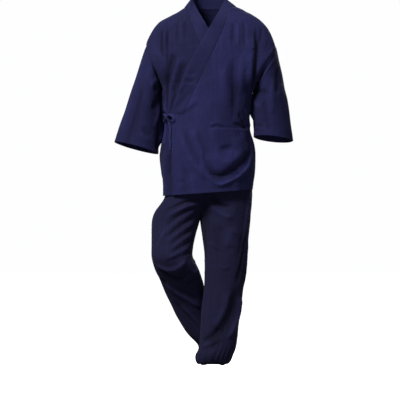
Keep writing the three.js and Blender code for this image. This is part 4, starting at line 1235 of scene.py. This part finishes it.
def off_knot(towards, layer):
    """Two places that lead a strip off the knot towards a place."""
    way = towards - KNOT_MIDDLE
    turn = math.atan2(way[2], way @ KNOT_ACROSS)
    across, out, up = KNOT["size"]
    reach = math.sqrt(1 - (layer / out) ** 2) / math.hypot(math.cos(turn) / across, math.sin(turn) / up)
    steps = (reach + 0.6, reach + 2.8)
    return [from_knot(far * math.cos(turn), layer, far * math.sin(turn)) for far in steps]


def loop_path(steps):
    """From the knot round a loop and back to it."""
    bend = [from_knot(*step) for step in steps]
    return off_knot(bend[0], KNOT["layer"]) + bend + off_knot(bend[-1], KNOT["layer"])[::-1]


def hanging_path(steps):
    """From the knot along a strip that lies on the cloth."""
    hang = [on_front(*step)[0] for step in steps]
    return off_knot(hang[0], -KNOT["layer"]) + hang


def strip(name, path, round_it=0.0):
    """One strip of the bow and the line along its middle, in millimetres."""
    surface, line = ribbon(path, round_it)
    piece = grid_object(f"{name}_strip", surface, STRIP_THICK)
    dress(piece, "ties", material("ties"), name)
    return piece, line


def wrapped_ball(across, out, up):
    """A place on the knot for one on a ball: squared a little, with the grooves between its wraps."""
    squared = (abs(across) ** 3 + abs(out) ** 3 + abs(up) ** 3) ** (1 / 3)
    slant = up - 0.25 * across
    grooves = 0.16 * (bell(slant - 0.42, 0.1) + bell(slant + 0.46, 0.1)) * (out > -0.2)
    grooves += 0.05 * bell(across + 0.1, 0.12) * max(0.0, out) * (abs(up) < 0.5)
    size = mix(1.0, 1.0 / squared, 0.6) * (1 - grooves)
    return from_knot(*(part * half * size for part, half in zip((across, out, up), KNOT["size"])))


# ---- settings
class SamueCloth(bpy.types.PropertyGroup):
    """The cloth of both garments."""
    wall: FloatProperty(
        name="Wall", description="Thickness of a panel", default=0.0015, min=0.0005, unit="LENGTH")
    band: FloatProperty(
        name="Band", description="Thickness of the folded collar", default=0.0019, min=0.0005, unit="LENGTH")
    jacket: FloatVectorProperty(
        name="Jacket", description="Colour of the jacket", default=(0.0092, 0.0094, 0.0445),
        subtype="COLOR", min=0, max=1)
    trousers: FloatVectorProperty(
        name="Trousers", description="Colour of the trousers", default=(0.0088, 0.0083, 0.0325),
        subtype="COLOR", min=0, max=1)
    slub: FloatProperty(
        name="Slub", description="Strength of the streaks along the warp", default=0.10, min=0, max=1,
        subtype="FACTOR")
    weave: FloatProperty(
        name="Weave", description="Width of one pair of threads", default=0.0011, min=0.0003, unit="LENGTH")
    sheen: FloatProperty(
        name="Sheen", description="Soft light caught by the fibres", default=0.05, min=0, max=1,
        subtype="FACTOR")


class SamueStage(bpy.types.PropertyGroup):
    """The camera, the lights and the floor."""
    distance: FloatProperty(
        name="Distance", description="Camera's distance from the wearer's middle", default=14.0, min=1,
        unit="LENGTH")
    lens: FloatProperty(
        name="Lens", description="Focal length on a 36 mm sensor", default=325.0, min=20, unit="CAMERA")
    key: FloatProperty(
        name="Key light", description="Power of the light at the upper left", default=185.0, min=0,
        unit="POWER")
    fill: FloatProperty(
        name="Fill light", description="Power of the light at the right", default=22.0, min=0, unit="POWER")
    air: FloatProperty(
        name="Air light", description="Strength of the light from all round", default=0.14, min=0,
        subtype="FACTOR")
    floor: FloatProperty(
        name="Floor", description="Height of the floor under the wearer's feet", default=-1.49,
        unit="LENGTH")


class Build:
    """What every operator shares: its options, when it can run, and the thickness of a panel."""
    bl_options = {"REGISTER", "UNDO"}

    @classmethod
    def poll(cls, context):
        return context.scene is not None

    @staticmethod
    def wall(context):
        """Thickness of a panel, in millimetres."""
        return context.scene.samue_cloth.wall / MM


TIES_PALER, THREAD_PALER = 1.5, 1.25     # how much paler than the jacket's cloth they are
MATERIALS = {}


def material(name):
    """The cotton or thread of that name, made once."""
    if name not in MATERIALS:
        cloth = bpy.context.scene.samue_cloth
        shared = (cloth.slub, cloth.weave, cloth.sheen)
        if name == "jacket":
            made = cotton("Jacket cotton", cloth.jacket, *shared)
        elif name == "trousers":
            made = cotton("Trouser cotton", cloth.trousers, *shared)
        elif name == "ties":
            made = cotton("Tie cotton", [c * TIES_PALER for c in cloth.jacket], *shared, folds=0.0)
        else:
            made = thread("Thread", [c * THREAD_PALER for c in cloth.jacket])
        MATERIALS[name] = made
    return MATERIALS[name]


def inset_line(surface, out, axis, distance, far=False):
    """A line on a surface at a distance from one of its edges, with the ways out along it."""
    grid, normals = surface.grid(out), surface.normal
    if axis == 0:
        grid, normals = grid.transpose(1, 0, 2), normals.transpose(1, 0, 2)
    if far:
        grid, normals = grid[:, ::-1], normals[:, ::-1]
    places, ways = (
        np.array([at_travel(t, row, distance) for t, row in zip(along(grid, 1), values)])
        for values in (grid, normals)
    )
    return places, unit(ways)


# How far in from an edge each row of stitches runs.
HEM, LEAD_HEM, SLEEVE_HEM = 22.0, 13.0, 26.0
COLLAR_EDGE, POCKET_EDGE, CASING_EDGE, WAIST_EDGE = 4.5, 3.5, 3.0, 4.0
POCKET_MOUTH_ROWS = (14.0, 29.0)


# ---- operators
class SAMUE_OT_stage(Build, bpy.types.Operator):
    """Sets the camera, the lights, the floor and the backdrop"""
    bl_idname = "samue.stage"
    bl_label = "Stage"

    def execute(self, context):
        stage = context.scene.samue_stage
        aim = Vector((-0.033, 0.0, -0.745))
        camera = in_scene("Camera", bpy.data.cameras.new("Camera"))
        camera.data.lens = stage.lens
        camera.data.sensor_width = 36.0
        camera.location = aim + Vector((0, -stage.distance, 0))
        camera.rotation_euler = (QUARTER, 0, 0)
        context.scene.camera = camera
        lamps = (
            ("Key", (-1.7, -2.5, 1.8), (1.0, 1.0), stage.key),
            ("Fill", (1.4, -3.2, -1.2), (2.2, 1.6), stage.fill),
            ("Top", (0.1, 0.6, 2.3), (2.0, 1.4), stage.fill * 0.6),
            ("Behind", (1.4, 3.4, 1.2), (1.6, 1.6), stage.key * 0.6),
        )
        for name, place, size, power in lamps:
            lamp = bpy.data.lights.new(name, "AREA")
            lamp.shape = "RECTANGLE"
            lamp.size, lamp.size_y = size
            lamp.energy = power
            holder = in_scene(name, lamp)
            holder.location = place
            holder.rotation_euler = (aim - Vector(place)).to_track_quat("-Z", "Y").to_euler()
        world = bpy.data.worlds.new("Studio")
        world.use_nodes = True
        tree = world.node_tree
        ray = tree.nodes.new("ShaderNodeLightPath")
        strength = tree.nodes.new("ShaderNodeMapRange")
        strength.inputs["To Min"].default_value = stage.air
        strength.inputs["To Max"].default_value = 1.0
        tree.links.new(ray.outputs["Is Camera Ray"], strength.inputs["Value"])
        back = tree.nodes["Background"]
        back.inputs["Color"].default_value = (0.99, 0.99, 1.0, 1.0)
        tree.links.new(strength.outputs["Result"], back.inputs["Strength"])
        context.scene.world = world
        context.scene.view_settings.view_transform = "Standard"
        bm = bmesh.new()
        bmesh.ops.create_grid(bm, x_segments=2, y_segments=2, size=stage.distance * 1.6)
        bmesh.ops.translate(bm, vec=(0, 0, stage.floor), verts=bm.verts)
        floor = in_scene("Floor", mesh_of("Floor", bm))
        floor.data.shade_smooth()
        floor.data.materials.append(Nodes("Pale paper").finished({
            "Base Color": (0.9, 0.9, 0.9, 1.0), "Roughness": 0.9,
            "Emission Color": (1.0, 1.0, 1.0, 1.0), "Emission Strength": 1.0,
        }))
        floor.visible_diffuse = floor.visible_glossy = False
        return {"FINISHED"}


class SAMUE_OT_tails(Build, bpy.types.Operator):
    """Adds the two tails that hang from the bow"""
    bl_idname = "samue.tails"
    bl_label = "Tails"

    def execute(self, context):
        for name, steps in TAILS.items():
            piece, line = strip(name, hanging_path(steps))
        return {"FINISHED"}


class SAMUE_OT_bow(Build, bpy.types.Operator):
    """Adds the knot, the two loops and the strips sewn to the cloth"""
    bl_idname = "samue.bow"
    bl_label = "Bow"

    def execute(self, context):
        for name, steps in {**LOOPS, **TIES}.items():
            is_loop = name in LOOPS
            path = loop_path(steps) if is_loop else hanging_path(steps)
            piece, line = strip(name, path, 1.1 if is_loop else 0.0)
        bm = bmesh.new()
        bmesh.ops.create_uvsphere(bm, u_segments=56, v_segments=36, radius=1.0)
        uv = bm.loops.layers.uv.new("UVMap")
        for vert in bm.verts:
            vert.co = Vector(wrapped_ball(*vert.co)) * MM
        for face in bm.faces:
            for loop in face.loops:
                rel = np.array(loop.vert.co) / MM - KNOT_MIDDLE
                loop[uv].uv = (float(rel @ KNOT_ACROSS) * MM, float(rel[2]) * MM)
        bmesh.ops.recalc_face_normals(bm, faces=bm.faces)
        knot = in_scene("bow_knot", mesh_of("bow_knot", bm))
        knot.data.shade_smooth()
        dress(knot, "ties", material("ties"), "knot")
        return {"FINISHED"}


class SAMUE_OT_body(Build, bpy.types.Operator):
    """Adds the jacket's back and its two lapped fronts"""
    bl_idname = "samue.body"
    bl_label = "Back and fronts"

    def execute(self, context):
        back, over = back_surface(BACK_ACROSS), front_surface(1, OVER_ACROSS)
        under = front_surface(-1, UNDER_ACROSS)
        for node, surface, width, length, area in (
            ("back", back, 0.52, 0.78, 0.36),
            ("front_over", over, 0.42, 0.75, 0.24),
            ("front_under", under, 0.40, 0.75, 0.22),
        ):
            piece = panel(node, surface, "jacket", self.wall(context))
        rows = [inset_line(surface, 0, 0, HEM) for surface in (back, over, under)]
        places, ways = inset_line(over, 0, 1, LEAD_HEM)
        rows.append((places[:COLLAR_START - 2], ways[:COLLAR_START - 2]))
        stitches("hem_stitches", rows, "jacket")
        return {"FINISHED"}


class SAMUE_OT_collar(Build, bpy.types.Operator):
    """Adds the long collar with its two rows of stitches"""
    bl_idname = "samue.collar"
    bl_label = "Collar"

    def execute(self, context):
        cells = collar_base()
        normal = grid_normals(cells)
        row, column = len(cells) // 2, COLLAR_ACROSS // 2
        if normal[row, column] @ (cells[row, column] * (1, 1, 0)) < 0:
            normal = -normal
        to_seam = along(cells, 1)
        width = to_seam[:, -1:]
        to_free = width - to_seam
        share = to_seam / np.maximum(width, 1e-6)
        lift = 1.3 * (1 - (2 * share - 1) ** 4) - 0.5 + sewn(to_seam, 0.8)
        lift = lift - 0.35 * bell(to_seam - COLLAR_EDGE, 1.2) - 0.35 * bell(to_free - COLLAR_EDGE, 1.2)
        line = along(cells, 0).mean(axis=1)[:, None] + 0 * to_seam
        surface = Surface(cells, normal, lift, to_seam, line)
        piece = panel("collar", surface, "jacket", context.scene.samue_cloth.band / MM, rim=0.7)
        rows = [inset_line(surface, 0, 1, COLLAR_EDGE), inset_line(surface, 0, 1, COLLAR_EDGE, far=True)]
        stitches("collar_stitches", rows, "jacket")
        return {"FINISHED"}


class SAMUE_OT_pocket(Build, bpy.types.Operator):
    """Adds the patch pocket and its stitches"""
    bl_idname = "samue.pocket"
    bl_label = "Pocket"

    def execute(self, context):
        wall = self.wall(context)
        surface = pocket_surface(56, 52)
        base = surface.base
        down = along(base[::-1], 0)[::-1]
        side = along(base, 1)
        edge = np.minimum(np.minimum(side, side[:, -1:] - side), along(base, 0))
        gape = 4.0 * bell(base[..., 0] - 38, 42) * ease(62, 0, down) + 0.8 * ease(90, 10, down)
        puff = (1.2 + gape) * ease(0, 26, edge)
        near_row, far_row = POCKET_MOUTH_ROWS
        fold = 0.9 * bell(down - far_row, 1.8) + 0.7 * bell(down - near_row, 1.8)
        rest = rumple(surface.across + 400, surface.up, 93, 0.5) * ease(4, 30, edge)
        surface.lift = surface.lift + 0.35 + puff + rest - fold - 0.35 * bell(edge - POCKET_EDGE, 1.2)
        piece = panel("pocket", surface, "jacket", wall, out=wall)
        rows = [inset_line(surface, wall, 0, distance, far=True) for distance in POCKET_MOUTH_ROWS]
        edges = ((0, False), (1, False), (1, True))
        rows += [inset_line(surface, wall, axis, POCKET_EDGE, far) for axis, far in edges]
        stitches("pocket_stitches", rows, "jacket")
        return {"FINISHED"}


class SAMUE_OT_sleeves(Build, bpy.types.Operator):
    """Adds the two sleeves"""
    bl_idname = "samue.sleeves"
    bl_label = "Sleeves"

    def execute(self, context):
        rows = []
        for side, node in ((-1, "sleeve_right"), (1, "sleeve_left")):
            surface = sleeve_surface(ARMS[side])
            piece = panel(node, surface, "jacket", self.wall(context), closed=True)
            rows.append(inset_line(surface, 0, 0, SLEEVE_HEM, far=True))
        stitches("cuff_stitches", rows, "jacket")
        return {"FINISHED"}


class SAMUE_OT_legs(Build, bpy.types.Operator):
    """Adds the four panels of the trousers"""
    bl_idname = "samue.legs"
    bl_label = "Trouser panels"

    def execute(self, context):
        for side, side_name in ((-1, "right"), (1, "left")):
            for is_front, half in ((True, "front"), (False, "back")):
                surface = leg_surface(side, is_front)
                piece = panel(f"leg_{side_name}_{half}", surface, "trousers", self.wall(context))
        return {"FINISHED"}


class SAMUE_OT_bands(Build, bpy.types.Operator):
    """Adds the gathered waistband and the casings at the ankles"""
    bl_idname = "samue.bands"
    bl_label = "Elastic bands"

    def execute(self, context):
        rows = []
        for side, name in ((-1, "cuff_right"), (1, "cuff_left")):
            end = {key: values[-1] for key, values in LEGS[side].items()}
            down = np.linspace(0, 1, CASING_ROWS)
            half = abs(end["outer"] - end["inner"]) / 2 - CASING_INSET
            surface = ring_surface(
                (end["outer"] + end["inner"]) / 2, end["y"], half, end["front"] - CASING_INSET,
                end["back"] - CASING_INSET, end["z"] - BAND_GAP - CASING_DROP * down, CASING_ROUND,
                CASING_PLEATS, 1.0)
            surface.lift = 0.9 * surface.lift + 0.9 * (1 - (2 * down[:, None] - 1) ** 4)
            piece = panel(name, surface, "trousers", self.wall(context), closed=True)
            rows += [inset_line(surface, 0, 0, CASING_EDGE, far) for far in (False, True)]
        top = {(side, key): rows_of[0] for side in LEGS for key, rows_of in LEGS[side].items()}
        left, right = top[1, "outer"], top[-1, "outer"]
        heights = top[1, "z"] + BAND_GAP + np.linspace(0, WAIST_RISE, WAIST_ROWS)
        surface = ring_surface((left + right) / 2, 0, (left - right) / 2, top[1, "front"], top[1, "back"],
                               heights, WAIST_ROUND, WAIST_PLEATS)
        surface.lift = surface.lift * 1.1
        piece = panel("waistband", surface, "trousers", self.wall(context), closed=True)
        rows += [inset_line(surface, 0, 0, WAIST_EDGE, far) for far in (False, True)]
        stitches("band_stitches", rows, "trousers")
        return {"FINISHED"}


class SAMUE_PT_panel(bpy.types.Panel):
    """The samue's settings and its operators, in order"""
    bl_label = "Samue"
    bl_idname = "SAMUE_PT_panel"
    bl_space_type = "VIEW_3D"
    bl_region_type = "UI"
    bl_category = "Samue"

    def draw(self, context):
        layout = self.layout
        for group in (context.scene.samue_cloth, context.scene.samue_stage):
            box = layout.box()
            for key in group.bl_rna.properties.keys():
                if key not in {"rna_type", "name"}:
                    box.prop(group, key)
        for operator in OPERATORS:
            layout.operator(operator.bl_idname)


OPERATORS = (SAMUE_OT_stage, SAMUE_OT_tails, SAMUE_OT_bow, SAMUE_OT_body, SAMUE_OT_collar, SAMUE_OT_pocket,
             SAMUE_OT_sleeves, SAMUE_OT_legs, SAMUE_OT_bands)
CLASSES = (SamueCloth, SamueStage) + OPERATORS + (SAMUE_PT_panel,)


def register():
    for cls in CLASSES:
        bpy.utils.register_class(cls)
    bpy.types.Scene.samue_cloth = PointerProperty(type=SamueCloth)
    bpy.types.Scene.samue_stage = PointerProperty(type=SamueStage)


def unregister():
    del bpy.types.Scene.samue_stage
    del bpy.types.Scene.samue_cloth
    for cls in reversed(CLASSES):
        bpy.utils.unregister_class(cls)


def main():
    register()
    for operator in OPERATORS:
        group, name = operator.bl_idname.split(".")
        getattr(getattr(bpy.ops, group), name)()


if __name__ == "__main__":
    main()
